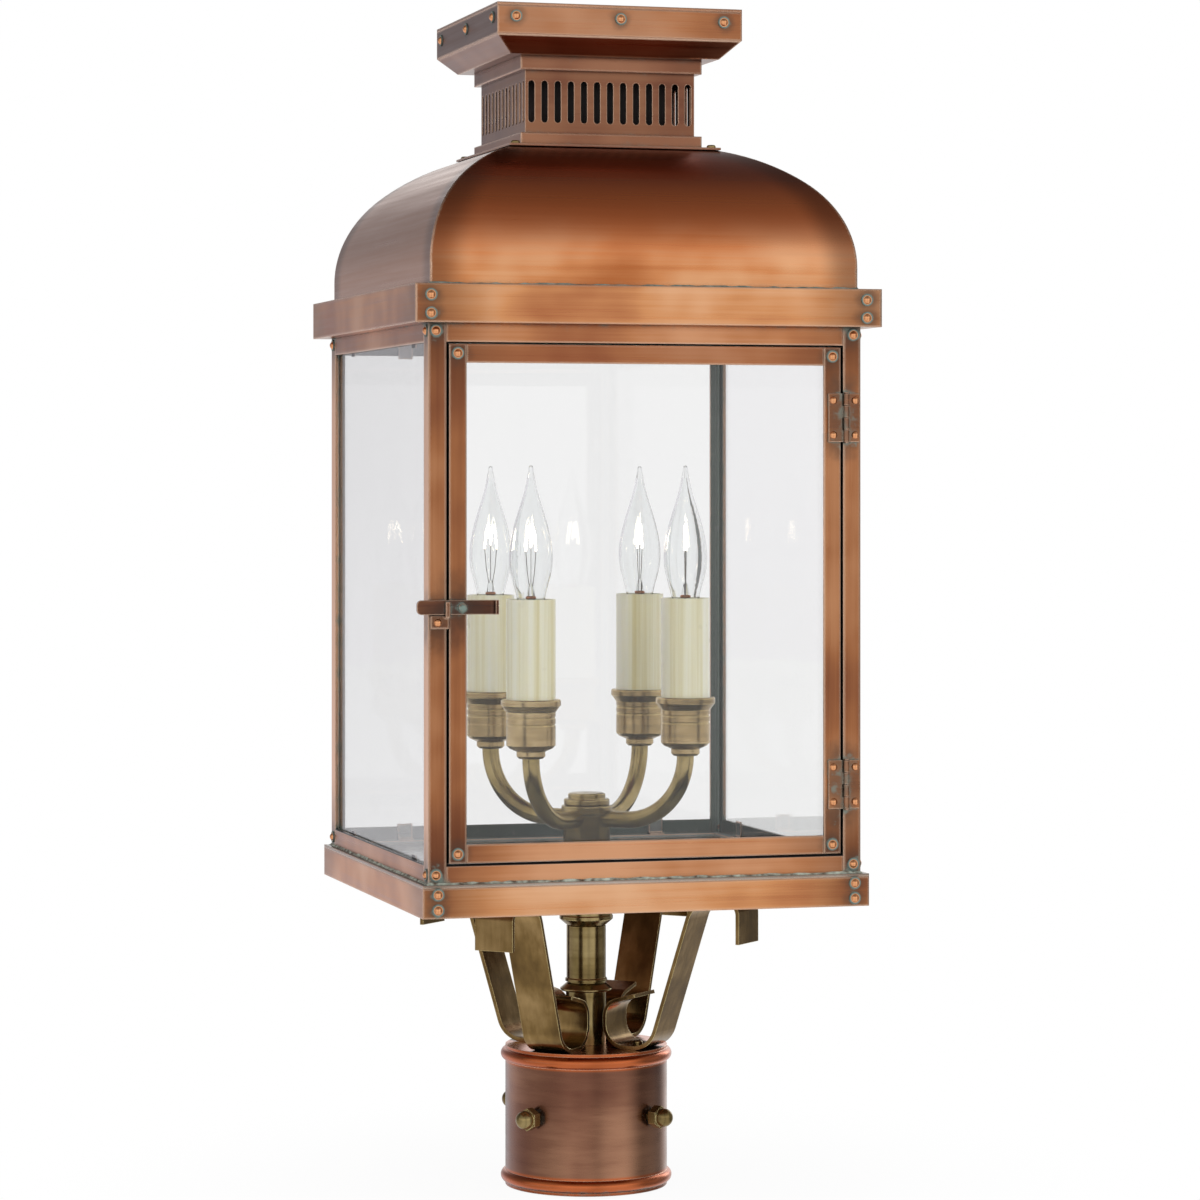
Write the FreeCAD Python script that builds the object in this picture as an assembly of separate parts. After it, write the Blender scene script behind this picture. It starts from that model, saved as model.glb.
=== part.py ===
import FreeCAD, Part
import math
import os

# A post top lantern: a square glazed copper cage with a hinged door at the front, a four-sided
# dome, a louvred vent and a flat cap above it. Inside, four candle lights stand on brass arms.
# Below, a brass stem and four scrolled straps carry the cage on a round fitter, which slips
# over a 3 inch post and is held there by four screws.
# Millimetres. The origin is on the axis at the fitter's bottom edge, +Z is up, the door faces -Y.

# ---- driving dimensions -----------------------------------------------------------------------
# Fits and clearances
slip = 0.05              # radial clearance of a shaft that turns or slides in its hole
sheet_gap = 0.3          # gap left between sheet parts that only stand side by side
edge_gap = 0.8           # gap round the edge of a pane

# Post fitter
post_radius = 38.1       # a 3 inch post
post_clearance = 0.9     # radial clearance of the post in the fitter
fitter_wall = 3.4
fitter_height = 73.0
fitter_top = 3.0         # thickness of the closed top
post_depth = 60.0        # how far the post goes in
stop_ledge = 3.5         # width of the ledge that stops the post
bead_round = 3.2         # radius of the half-round beads
bead_proud = 2.4         # how far they stand out
bead_inset = 4.7         # from the fitter's edge to the middle of a bead

# Screws that clamp the post
post_screw_height = 39.0
post_screw_turn = 36.0   # the first one's direction, from -Y towards +X
post_screw_radius = 3.0
post_screw_ball = 4.8    # radius of the ball on the head
post_screw_hex = 5.1     # half the width across flats
post_screw_hex_long = 4.5
post_screw_stand_off = 2.5

# Stem
rod_radius = 4.8
rod_bore = 3.2
rod_tail = 3.5           # how far the rod passes each nut
rod_nut_wall = 3.0       # from the rod to the corners of its nuts
lower_stem_radius = 10.6
upper_stem_radius = 10.3
collar_radius = 13.6
lower_stem_tall = 28.0    # from the fitter to the waist collar
waist_rise = 5.0
top_collar_rise = 18.7   # from the top collar's foot to the tray
collar_taper = 3.6
collar_tall = 1.6        # the top collar's upright edge
collar_proud = 0.4       # how far that edge stands out
turned_edge = 0.6        # how far the corners of turned brass are rounded off
stem_foot_tall = 1.2     # a low ring where the upper stem stands on the waist collar
stem_foot_proud = 0.7
stem_neck = 0.5          # how far the waist collar's top lies inside the upper stem

# Base tray
base_overhang = 3.4      # how far the base band stands out past the corner posts
tray_lift = 80.7         # from the fitter's top to the tray
band_height = 14.8
band_thick = 1.6
tab_thick = 1.2          # tabs behind the front and back strips
tab_long = 14.0
tray_plate = 1.5
floor_thick = 1.5
base_rivet_in = 7.6      # from the band's ends to its rivets
base_rivet_high = 3.1    # from the band's top down to its rivets
base_rivet_low = 10.7

# Cage
cage_half = 112.2        # half width over the corner posts
cage_height = 275.5      # from the floor plate to the cornice
angle_thick = 2.0
angle_leg = 9.2
rail_leg = 9.2           # height of the rails' front leg
pane_thick = 3.0
post_rivet_in = 3.9      # from a post's outer edge to its rivets
post_rivet_up = 4.7      # from the floor plate to the lower rivets
post_rivet_down = 3.8    # from the cornice to the upper rivets
clip_wide = 8.0
clip_sheet = 0.8
clip_tall = 9.0
clip_inset = 36.4        # from a pane's edge to the middle of its clips

# Door
door_gap_side = 1.4
door_gap_end = 1.0
stile_wide = 8.8
door_sheet = 1.6
door_return = 8.0        # depth of the door frame's turned-in edge
door_tab = 1.2
door_tab_long = 4.0      # how far a tab reaches behind the rail's front
door_rivet_end = 4.6     # from the door's ends to its rivets
door_clip_end = 45.0     # from the door's ends to its clips
door_clip_reach = 5.0
stop_sheet = 1.0         # the angle behind the door that closes the gap beside it
stop_gap = 0.5           # from the door's turned-in edge to the stop
stop_reach = 1.8         # how far the stop reaches behind the door

# Hinges
hinge_tall = 24.5
hinge_down = 35.4        # from the door's top to the middle of the upper hinge
hinge_up = 34.8          # from the door's foot to the middle of the lower hinge
hinge_sheet = 0.9
hinge_barrel = 1.45      # radius of the knuckles
hinge_pin = 0.7
hinge_off_post = 1.1     # from the post's inner edge to the pin
hinge_door_leaf = 9.2    # from the pin to the leaf's far edge
hinge_post_leaf = 7.5
hinge_rivet_out = 5.0    # from the pin to the post leaf's rivets
hinge_rivet_in = 6.5
hinge_rivet_end = 3.5    # from the leaf's ends to the rivets
knuckles = 4
knuckle_gap = 0.2

# Latch
latch_lift = 136.0       # from the floor plate to the latch
latch_tall = 7.1
latch_thick = 1.6
latch_left = 22.6        # from the pivot to the bar's left end
latch_right = 14.0       # from the pivot to where the finger end turns out
latch_pivot_in = 5.9     # from the stile's outer edge to the pivot
latch_pivot_radius = 1.6
latch_washer = 0.8
latch_curl = 3.2         # radius of the finger end's turn
latch_corner = 2.3       # radius of the left end's corners
keeper_low = 10.6        # from the pivot's height down to the keeper's lower edge
keeper_sheet = 1.1
keeper_lip = 2.3         # width of the hook in front of the bar
keeper_reach = 0.4       # room in front of and below the bar
keeper_inset = 1.0       # from the post's outer edge to the keeper's
keeper_rivet_in = 4.5    # from the post's inner edge to the keeper's rivet
keeper_rivet_down = 7.5  # from the latch's height to the keeper's rivet
keeper_hook = 2.8        # how far the hook stands up past the latch's middle
finger_run = 0.8         # straight end after the finger end's turn

# Cornice and roof
cornice_overhang = 8.45  # how far the cornice stands out past the corner posts
cornice_height = 19.1
cornice_rivet_in = 7.95
cornice_rivet_high = 5.6
cornice_rivet_low = 14.6
dome_setback = 9.65      # from the cornice's edge in to the dome
dome_thick = 1.4
dome_straight = 10.9     # straight foot above the cornice
dome_curve_ratio = 1.56  # the upper curve's radius over the lower one's
dome_low_turn = 50.0
dome_lip = 2.2           # how far the flange plate reaches past the dome's top edge
dome_high_turn = 26.0
flange_reach = 11.0      # from the vent box to the flange plate's edge
flange_thick = 1.2

# Vent
vent_half = 45.2
vent_thick = 0.9
liner_gap = 9.2          # from the vent box in to the rain liner
liner_thick = 0.8
vent_louvre_tall = 32.1  # between the two collars
collar_thick = 3.1
lower_collar_tall = 6.2
upper_collar_tall = 7.2
slots = 13
slot_end = 3.38          # from the box's corner to the middle of the first slot
slot_wide = 3.3
slot_drop = 5.2          # from the slots to the upper collar
slot_lift = 5.5          # from the lower collar to the slots

# Cap
cap_foot_over = 10.3     # how far the cap's underside reaches past the vent box
cap_flare = 9.3          # how far its bevel widens
cap_bevel_tall = 8.9
cap_rim_tall = 16.0
cap_sheet = 1.6
rim_rivet_in = 9.8       # from the rim's corner to the end rivets
rim_rivet_edge = 3.0     # sheet left above the rim's rivets
rim_rivet_lift = 9.1

# Fasteners
rivet_head = 2.0
rivet_rise = 1.3
burr_radius = 3.0        # washer under a rivet's head
burr_thick = 0.6
rivet_shank = 1.3
screw_head = 2.4
screw_rise = 1.6
screw_shank = 1.5
nut_radius = 3.4
nut_tall = 2.4

# Candle lights
candle_out = 58.5        # from the axis to each candle
hub_radius = 12.3
hub_lip_radius = 13.3
hub_over_arm = 6.9       # from the arms' middle to the hub's top
hub_wall = 3.0
hub_lip_tall = 4.0
hub_ring_radius = 12.0   # the cap's lower step
hub_ring_tall = 3.4
hub_disc_radius = 9.8    # the cap's upper step
hub_disc_tall = 3.0
hub_crown = 0.5          # rise of the cap's slightly domed top
arm_radius = 4.45
arm_wall = 1.1
arm_lift = 21.3          # from the floor plate to where the arms leave the hub
arm_bend = 34.7
lead_radius = 1.5
cup_foot_radius = 7.4
cup_foot_tall = 5.2
cup_shoulder = 1.6       # slope from the cup's foot to its side
cup_radius = 12.7
cup_rim_radius = 15.4
cup_rim_tall = 3.7
cup_flare = 2.9          # height over which the cup widens under its rim
cup_tall = 30.3
cup_floor = 2.0          # from the foot's top to the floor inside
groove_low = 12.9        # from the cup's rim down to its lower groove
groove_high = 9.3        # and to its upper one
groove_wide = 0.6
groove_deep = 0.4
sleeve_radius = 12.65
sleeve_wall = 1.4
sleeve_out = 51.2        # how far the sleeve stands out of its cup
sleeve_seat = 4.0        # how deep the sleeve stands in the cup
holder_radius = 9.6
holder_drop = 7.0        # from the sleeve's top to the lampholder's top
holder_foot = 3.0        # depth of the recess in its foot

# Bulbs
base_radius = 5.95
base_tall = 21.0
bulb_radius = 11.2
bulb_neck = 7.6
bulb_tall = 68.5         # from the sleeve's top to the tip
bulb_tip_tall = 6.5      # the solid drawn tip
bulb_tip_radius = 2.0    # where it starts
bulb_outline = ((0.056, 0.705), (0.202, 0.920), (0.347, 1.0), (0.492, 0.920), (0.685, 0.652),
                (0.863, 0.348))   # shares of the height below the tip and of the radius
bulb_wall = 0.7
base_flange = 1.0
mount_radius = 2.2       # the glass stem inside the bulb
mount_rise = 14.0
mount_pinch = 1.4        # its radius where it is pinched round the leads
mount_tip = 0.6
base_tip_radius = 2.2    # the solder point under the base
base_tip_tall = 1.6
base_cone = 3.4          # from the base's foot to its full width

# Scrolled straps
strap_wide = 22.0
strap_thick = 2.0
strap_tip_out = 94.5     # from the axis to the hanging tip
strap_tip_drop = 22.7    # from the tray down to the strap's tip
strap_tip_bend = 7.0
strap_screw_in = 4.55    # from the tip's bend to the upper screw
strap_top_bend = 14.0
strap_slope = 72.0       # degrees from level
strap_low_bend = 13.5
strap_foot_flat = 5.0
strap_foot_out = 31.0    # from the axis to the screw in the foot
strap_scroll_bend = 11.5
strap_scroll_run = 4.0
strap_curl_bend = 9.0
strap_curl_turn = 75.0
strap_end_run = 11.5

# ---- derived places ---------------------------------------------------------------------------
fitter_bore = post_radius + post_clearance
fitter_radius = fitter_bore + fitter_wall
tray_bottom = fitter_height + tray_lift
tray_top = tray_bottom + band_height
floor_top = tray_top + floor_thick
cornice_bottom = floor_top + cage_height
cornice_top = cornice_bottom + cornice_height
tray_half = cage_half + base_overhang
cornice_half = cage_half + cornice_overhang
dome_half = cornice_half - dome_setback
waist_height = fitter_height + lower_stem_tall
top_collar_height = tray_bottom - top_collar_rise
leg_inner = cage_half - angle_leg            # inner edge of a post's leg
pane_outer = cage_half - angle_thick         # outer face of a fixed pane
pane_low = floor_top + angle_thick
pane_high = cornice_bottom - angle_thick
pane_half = pane_outer - pane_thick - edge_gap
clip_out = pane_half - clip_inset
door_half = leg_inner - door_gap_side
door_bottom = floor_top + rail_leg + door_gap_end
door_top = cornice_bottom - rail_leg - door_gap_end
door_front = -cage_half
hinge_upper = door_top - hinge_down
hinge_lower = door_bottom + hinge_up
latch_height = floor_top + latch_lift
hinge_x = leg_inner + hinge_off_post
hinge_y = door_front - sheet_gap - hinge_barrel
latch_x = -door_half + latch_pivot_in
door_rivet_in = stile_wide / 2
keeper_x = -leg_inner - keeper_rivet_in
latch_back = door_front - latch_washer
latch_front = latch_back - latch_thick
dome_foot = cornice_top + dome_straight
flange_half = vent_half + flange_reach
collar_half = vent_half + collar_thick
liner_half = vent_half - liner_gap
slot_pitch = 2 * (vent_half - slot_end) / (slots - 1)
slot_tall = vent_louvre_tall - slot_lift - slot_drop
cap_low_half = vent_half + cap_foot_over
cap_half = cap_low_half + cap_flare
cap_upstand = rim_rivet_lift + rim_rivet_edge
rim_rivet_out = cap_half - rim_rivet_in
arm_height = floor_top + arm_lift
hub_tall = arm_lift + hub_over_arm
cup_bottom = arm_height + arm_bend
sleeve_top = cup_bottom + cup_tall + sleeve_out
strap_foot_level = fitter_height + strap_thick / 2
diagonals = {"front_left": 225, "front_right": 315, "back_right": 45, "back_left": 135}
sides = {"front": 0, "right": 90, "back": 180, "left": 270}
X_AXIS = FreeCAD.Vector(1, 0, 0)
Y_AXIS = FreeCAD.Vector(0, 1, 0)
Z_AXIS = FreeCAD.Vector(0, 0, 1)
FRONT = FreeCAD.Vector(0, -1, 0)


# ---- helpers ----------------------------------------------------------------------------------
def vec(x, y, z):
    return FreeCAD.Vector(x, y, z)


def block(x_low, x_high, y_low, y_high, z_low, z_high):
    """A box between two limits on each axis."""
    return Part.makeBox(x_high - x_low, y_high - y_low, z_high - z_low, vec(x_low, y_low, z_low))


def rod(radius, start, direction, length):
    """A round bar from start along direction."""
    return Part.makeCylinder(radius, length, start, direction)


def tube(outer, inner, z_low, z_high):
    """A round tube on the Z axis."""
    wall = rod(outer, vec(0, 0, z_low), Z_AXIS, z_high - z_low)
    return wall.cut(rod(inner, vec(0, 0, z_low - 1), Z_AXIS, z_high - z_low + 2))


def turned(shape, degrees):
    """A copy turned about the Z axis."""
    return shape.copy().rotate(vec(0, 0, 0), Z_AXIS, degrees)


def moved(shape, x, y, z):
    """A shifted copy."""
    return shape.copy().translate(vec(x, y, z))


def mirrored(shape):
    """A copy on the other side of the plane x = 0."""
    return shape.mirror(vec(0, 0, 0), X_AXIS)


def lathe(points, x=0.0, y=0.0):
    """A solid turned about a vertical axis from (radius, height) points."""
    corners = [vec(radius, 0, height) for radius, height in points]
    face = Part.Face(Part.makePolygon(corners + [corners[0]]))
    return face.revolve(vec(0, 0, 0), Z_AXIS, 360).translate(vec(x, y, 0))


def square_ring(outer, inner, z_low, z_high):
    """A square frame round the axis, given by its half widths."""
    ring = block(-outer, outer, -outer, outer, z_low, z_high)
    return ring.cut(block(-inner, inner, -inner, inner, z_low - 1, z_high + 1))


def mitred(low_reach, high_reach, z_low, z_high):
    """The space of the front quarter of a square ring between two distances from the axis."""
    corners = [vec(-low_reach, -low_reach, z_low), vec(low_reach, -low_reach, z_low),
               vec(high_reach, -high_reach, z_low), vec(-high_reach, -high_reach, z_low)]
    face = Part.Face(Part.makePolygon(corners + [corners[0]]))
    return face.extrude(vec(0, 0, z_high - z_low))


def join(shapes):
    """One solid from touching shapes."""
    whole = shapes[0]
    if len(shapes) > 1:
        whole = shapes[0].multiFuse(list(shapes[1:]))
    return whole.removeSplitter()


def rivet(place, outward, grip, washer=True):
    """A domed head, on a washer if wanted, with a shank through the sheets behind place."""
    ball = (rivet_head ** 2 + rivet_rise ** 2) / (2 * rivet_rise)
    seat = place + outward * (burr_thick if washer else 0)
    dome = Part.makeSphere(ball, seat + outward * (rivet_rise - ball))
    pieces = [dome.common(rod(rivet_head + 1, seat, outward, rivet_rise + 1)),
              rod(rivet_shank, place - outward * grip, outward, grip + 0.2)]
    if washer:
        pieces.append(rod(burr_radius, place, outward, burr_thick))
    return join(pieces)


def screw(place, outward, grip, nut):
    """A low round head on place, a shank through the sheets, and a nut behind them if wanted."""
    head = rod(screw_head, place, outward, screw_rise)
    head = head.makeFillet(screw_rise * 0.6, [edge for edge in head.Edges
                                              if abs((edge.CenterOfMass - place).dot(outward)
                                                     - screw_rise) < 0.01])
    reach = grip + (nut_tall if nut else 0)
    pieces = [head, rod(screw_shank, place - outward * reach, outward, reach + 0.2)]
    if nut:
        pieces.append(rod(nut_radius, place - outward * reach, outward, nut_tall))
    return join(pieces)


def drilled(shape, places, outward, radius, depth):
    """The shape with a hole at each place, from just in front of it to depth behind it."""
    if not places:
        return shape
    holes = [rod(radius, place - outward * depth, outward, depth + 1) for place in places]
    return shape.cut(Part.Compound(holes))


def save(name, shapes):
    """Write the solids of a node as one file."""
    solids = [solid for shape in shapes for solid in shape.Solids]
    whole = solids[0] if len(solids) == 1 else Part.Compound(solids)
    whole.exportStep("parts/" + name + ".step")
    print(name, len(solids), round(sum(solid.Volume for solid in solids), 1))


# ---- post fitter, stem and rod ----------------------------------------------------------------
def post_screw_ways():
    """The directions of the clamping screws."""
    ways = []
    for quarter in range(4):
        angle = math.radians(post_screw_turn + 90 * quarter - 90)
        ways.append(vec(math.cos(angle), math.sin(angle), 0))
    return ways


def strap_foot_places(height):
    """The screws in the straps' feet, at a height."""
    return [vec(strap_foot_out * math.cos(math.radians(turn)),
                strap_foot_out * math.sin(math.radians(turn)), height)
            for turn in diagonals.values()]


def strap_top_out():
    """From the axis to the screws in the straps' flat tops."""
    return strap_tip_out - strap_tip_bend - strap_screw_in


def strap_top_places(height):
    """The screws in the straps' flat tops, at a height."""
    return [vec(strap_top_out() * math.cos(math.radians(turn)),
                strap_top_out() * math.sin(math.radians(turn)), height)
            for turn in diagonals.values()]


def post_fitter():
    body = rod(fitter_radius, vec(0, 0, 0), Z_AXIS, fitter_height)
    ring_radius = fitter_radius + bead_proud - bead_round
    for height in (bead_inset, fitter_height - bead_inset):
        body = body.fuse(Part.makeTorus(ring_radius, bead_round, vec(0, 0, height), Z_AXIS))
    body = body.cut(rod(fitter_bore, vec(0, 0, -1), Z_AXIS, post_depth + 1))
    inside = fitter_height - fitter_top
    body = body.cut(rod(fitter_bore - stop_ledge, vec(0, 0, 0), Z_AXIS, inside))
    body = body.cut(rod(rod_radius + slip, vec(0, 0, 0), Z_AXIS, fitter_height + 1))
    body = drilled(body, strap_foot_places(fitter_height), Z_AXIS, screw_shank, fitter_top + 1)
    for way in post_screw_ways():
        hole = rod(post_screw_radius + slip, way * (fitter_bore - 1) + vec(0, 0, post_screw_height),
                   way, fitter_wall + 2)
        body = body.cut(hole)
    return body


def post_screws():
    """Four screws, each with its tip level with the bore's wall."""
    hex_foot = fitter_wall + post_screw_stand_off
    hex_top = hex_foot + post_screw_hex_long
    corner = post_screw_hex / math.cos(math.pi / 6)
    shank = rod(post_screw_radius, vec(0, 0, 0), Z_AXIS, hex_foot + 0.5)
    head = hexagon(corner, hex_foot, post_screw_hex_long)
    ball = Part.makeSphere(post_screw_ball, vec(0, 0, hex_top + 1.6))
    ball = ball.common(rod(post_screw_ball + 1, vec(0, 0, hex_top - 0.5), Z_AXIS, 3 * post_screw_ball))
    clamp = join([shank, head, ball]).rotate(vec(0, 0, 0), Y_AXIS, 90)
    clamp = moved(clamp, fitter_bore, 0, post_screw_height)
    return [turned(clamp, post_screw_turn - 90 + 90 * quarter) for quarter in range(4)]


def hexagon(radius, z_low, height):
    """A hexagonal prism on the Z axis."""
    ring = [vec(radius * math.cos(math.radians(60 * count)),
                radius * math.sin(math.radians(60 * count)), z_low) for count in range(7)]
    return Part.Face(Part.makePolygon(ring)).extrude(vec(0, 0, height))


def stem_pieces():
    """The lower and upper stem tubes and the two collars, all round the threaded rod."""
    bore = rod_radius + slip
    waist_top = waist_height + waist_rise
    lower = tube(lower_stem_radius, bore, fitter_height, waist_height)
    neck = upper_stem_radius - stem_neck
    waist = lathe([(bore, waist_height), (collar_radius - turned_edge, waist_height),
                   (collar_radius, waist_height + turned_edge),
                   (collar_radius, waist_height + 2 * turned_edge),
                   (neck, waist_top - turned_edge), (neck, waist_top), (bore, waist_top)])
    foot = upper_stem_radius + stem_foot_proud
    foot_top = waist_top + stem_foot_tall
    upper = lathe([(bore, waist_top), (foot, waist_top), (foot, foot_top),
                   (upper_stem_radius, foot_top + turned_edge),
                   (upper_stem_radius, top_collar_height), (bore, top_collar_height)])
    full = top_collar_height + collar_taper
    edge = collar_radius + collar_proud
    top = lathe([(bore, top_collar_height), (neck, top_collar_height),
                 (edge - turned_edge, full - turned_edge), (edge, full), (edge, full + collar_tall),
                 (collar_radius, full + collar_tall + turned_edge),
                 (collar_radius, tray_bottom), (bore, tray_bottom)])
    return lower, waist, upper, top


def threaded_rod():
    """The hollow rod that draws the stem together and carries the supply leads."""
    low = fitter_height - fitter_top - nut_tall - rod_tail
    high = floor_top + nut_tall + rod_tail
    return tube(rod_radius, rod_bore, low, high)


def hex_nut(radius, bore, z_low, height):
    """A hexagonal nut on the Z axis."""
    nut = hexagon(radius, z_low, height)
    return nut.cut(rod(bore, vec(0, 0, z_low - 1), Z_AXIS, height + 2))


def rod_nuts():
    """The nuts on the rod, under the fitter's top and on the floor plate."""
    outer = rod_radius + rod_nut_wall
    bore = rod_radius + slip
    return [hex_nut(outer, bore, z_low, nut_tall)
            for z_low in (fitter_height - fitter_top - nut_tall, floor_top)]


# ---- scrolled straps --------------------------------------------------------------------------
def trace(start, heading, moves, offset):
    """Edges of runs and tangent bends in the XZ plane, kept at an offset to the path's left."""
    x, z = start
    angle = math.radians(heading)
    edges = []

    def point(px, pz, way):
        return vec(px - offset * math.sin(way), 0, pz + offset * math.cos(way))

    for kind, size, turn in moves:
        first = point(x, z, angle)
        if kind == "run":
            x += size * math.cos(angle)
            z += size * math.sin(angle)
            edges.append(Part.LineSegment(first, point(x, z, angle)).toShape())
            continue
        hand = 1 if turn > 0 else -1
        centre_x = x - hand * size * math.sin(angle)
        centre_z = z + hand * size * math.cos(angle)
        stops = []
        for share in (0.5, 1.0):
            way = angle + math.radians(turn) * share
            stops.append((centre_x + hand * size * math.sin(way),
                          centre_z - hand * size * math.cos(way), way))
        x, z, angle = stops[1]
        edges.append(Part.Arc(first, point(*stops[0]), point(*stops[1])).toShape())
    return edges


def ribbon(start, heading, moves, thick, wide):
    """A flat strip bent along a path in the XZ plane."""
    left = trace(start, heading, moves, thick / 2)
    right = trace(start, heading, moves, -thick / 2)
    ends = [Part.LineSegment(left[0].Vertexes[0].Point, right[0].Vertexes[0].Point).toShape(),
            Part.LineSegment(left[-1].Vertexes[-1].Point, right[-1].Vertexes[-1].Point).toShape()]
    wire = Part.Wire(Part.__sortEdges__(left + right + ends))
    return Part.Face(wire).extrude(vec(0, wide, 0)).translate(vec(0, -wide / 2, 0))


def strap_moves():
    """The strap's path from its foot's screw, outwards and up, and the other way to its scroll."""
    flat_level = tray_bottom - strap_thick / 2
    slope = math.radians(strap_slope)
    foot_half = strap_foot_flat / 2
    low_rise = strap_low_bend * (1 - math.cos(slope))
    top_rise = strap_top_bend * (1 - math.cos(slope))
    slope_run = (flat_level - strap_foot_level - low_rise - top_rise) / math.sin(slope)
    reach = (strap_foot_out + foot_half + (strap_low_bend + strap_top_bend) * math.sin(slope)
             + slope_run * math.cos(slope))
    top_flat = strap_tip_out - strap_tip_bend - reach
    drop = strap_tip_drop - strap_thick / 2 - strap_tip_bend
    up = [("run", foot_half, 0), ("bend", strap_low_bend, strap_slope), ("run", slope_run, 0),
          ("bend", strap_top_bend, -strap_slope), ("run", top_flat, 0),
          ("bend", strap_tip_bend, -90), ("run", drop, 0)]
    back = [("run", foot_half, 0), ("bend", strap_scroll_bend, -90), ("run", strap_scroll_run, 0),
            ("bend", strap_curl_bend, -strap_curl_turn), ("run", strap_end_run, 0)]
    return up, back


def scroll_strap():
    """One strap, lying along +X."""
    up, back = strap_moves()
    start = (strap_foot_out, strap_foot_level)
    strap = join([ribbon(start, 0, up, strap_thick, strap_wide),
                  ribbon(start, 180, back, strap_thick, strap_wide)])
    foot = vec(strap_foot_out, 0, fitter_height + strap_thick)
    strap = drilled(strap, [foot], Z_AXIS, screw_shank, strap_thick + 1)
    top = vec(strap_top_out(), 0, tray_bottom - strap_thick)
    return drilled(strap, [top], vec(0, 0, -1), screw_shank, strap_thick + 1)


def strap_screws():
    """A screw in each strap's foot and flat top."""
    down = vec(0, 0, -1)
    screws = [screw(place, Z_AXIS, strap_thick + fitter_top, True)
              for place in strap_foot_places(fitter_height + strap_thick)]
    return screws + [screw(place, down, strap_thick + tray_plate, True)
                     for place in strap_top_places(tray_bottom - strap_thick)]


# ---- base tray --------------------------------------------------------------------------------
def band_rivets(half, inset, top, drops):
    """Rivet places at both ends of the front strip of a band."""
    return [vec(side * (half - inset), -half, top - drop) for side in (-1, 1) for drop in drops]


def base_rivets():
    return band_rivets(tray_half, base_rivet_in, tray_top, (base_rivet_high, base_rivet_low))


def cornice_rivets():
    return band_rivets(cornice_half, cornice_rivet_in, cornice_top,
                       (cornice_rivet_high, cornice_rivet_low))


def end_tabs(half, thick, z_low, z_high):
    """Tabs at the ends of a side strip, turned in behind the front and back strips."""
    y_face = half - thick
    return [block(half - thick - tab_long, half - thick, y_face - tab_thick, y_face, z_low, z_high),
            block(half - thick - tab_long, half - thick, -y_face, tab_thick - y_face, z_low, z_high)]


def base_band():
    """Front, back, right and left strips."""
    front = block(-tray_half, tray_half, -tray_half, band_thick - tray_half, tray_bottom, tray_top)
    front = drilled(front, base_rivets(), FRONT, rivet_shank, band_thick + 1)
    reach = tray_half - band_thick
    right = block(reach, tray_half, -reach, reach, tray_bottom, tray_top)
    right = join([right] + end_tabs(tray_half, band_thick, tray_bottom + tray_plate, tray_top))
    right = drilled(right, base_rivets()[2:], FRONT, rivet_shank, 5)
    back_places = [vec(place.x, -place.y, place.z) for place in base_rivets()]
    right = drilled(right, back_places[2:], vec(0, 1, 0), rivet_shank, 5)
    return [front, turned(front, 180), right, mirrored(right)]


def tray_bottom_plate():
    half = tray_half - band_thick
    plate = block(-half, half, -half, half, tray_bottom, tray_bottom + tray_plate)
    plate = plate.cut(rod(rod_radius + slip, vec(0, 0, 0), Z_AXIS, tray_top))
    return drilled(plate, strap_top_places(tray_bottom), vec(0, 0, -1), screw_shank, tray_plate + 1)


def floor_plate():
    plate = block(-tray_half, tray_half, -tray_half, tray_half, tray_top, floor_top)
    return plate.cut(rod(rod_radius + slip, vec(0, 0, 0), Z_AXIS, floor_top + 1))


# ---- cage -------------------------------------------------------------------------------------
def post_rivet_places():
    """Rivets at the feet and heads of the front legs of the posts."""
    return [vec(side * (cage_half - post_rivet_in), -cage_half, height)
            for side in (-1, 1)
            for height in (floor_top + post_rivet_up, cornice_bottom - post_rivet_down)]


def corner_post():
    """The front right corner angle."""
    front = block(leg_inner, cage_half, -cage_half, angle_thick - cage_half, floor_top, cornice_bottom)
    side = block(cage_half - angle_thick, cage_half, -cage_half, -leg_inner, floor_top, cornice_bottom)
    post = join([front, side])
    right_places = [vec(cage_half, -place.x, place.z) for place in post_rivet_places()[2:]]
    post = drilled(post, post_rivet_places()[2:], FRONT, rivet_shank, angle_thick + 0.5)
    return drilled(post, right_places, X_AXIS, rivet_shank, angle_thick + 0.5)


def door_stop():
    """The angle soldered behind the front right post, which the door closes against."""
    x_low = leg_inner + sheet_gap
    y_front = door_front + door_return + stop_gap
    z_low = floor_top + angle_thick
    z_high = cornice_bottom - angle_thick
    web = block(x_low, x_low + stop_sheet, angle_thick - cage_half, y_front + stop_sheet, z_low, z_high)
    lip = block(door_half - stop_reach, x_low + stop_sheet, y_front, y_front + stop_sheet,
                z_low, z_high)
    return join([web, lip])


def corner_posts():
    """The four posts; the front ones have holes for the hinges and the latch keeper."""
    post = corner_post()
    right = drilled(post, hinge_places(hinge_rivet_out), FRONT, rivet_shank, angle_thick + 0.5)
    left = drilled(turned(post, 270), [keeper_rivet_place()], FRONT, rivet_shank, angle_thick + 0.5)
    return {"front_left": [left, mirrored(door_stop())], "front_right": [right, door_stop()],
            "back_right": [turned(post, 90)], "back_left": [turned(post, 180)]}


def cage_rail(z_low, z_high, leg_low):
    """A front rail: an angle with its flat leg turned in, between the corner posts."""
    front = block(-leg_inner, leg_inner, -cage_half, angle_thick - cage_half, z_low, z_high)
    flat = block(-pane_half, pane_half, angle_thick - cage_half, angle_leg - cage_half,
                 leg_low, leg_low + angle_thick)
    return join([front, flat])


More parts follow.
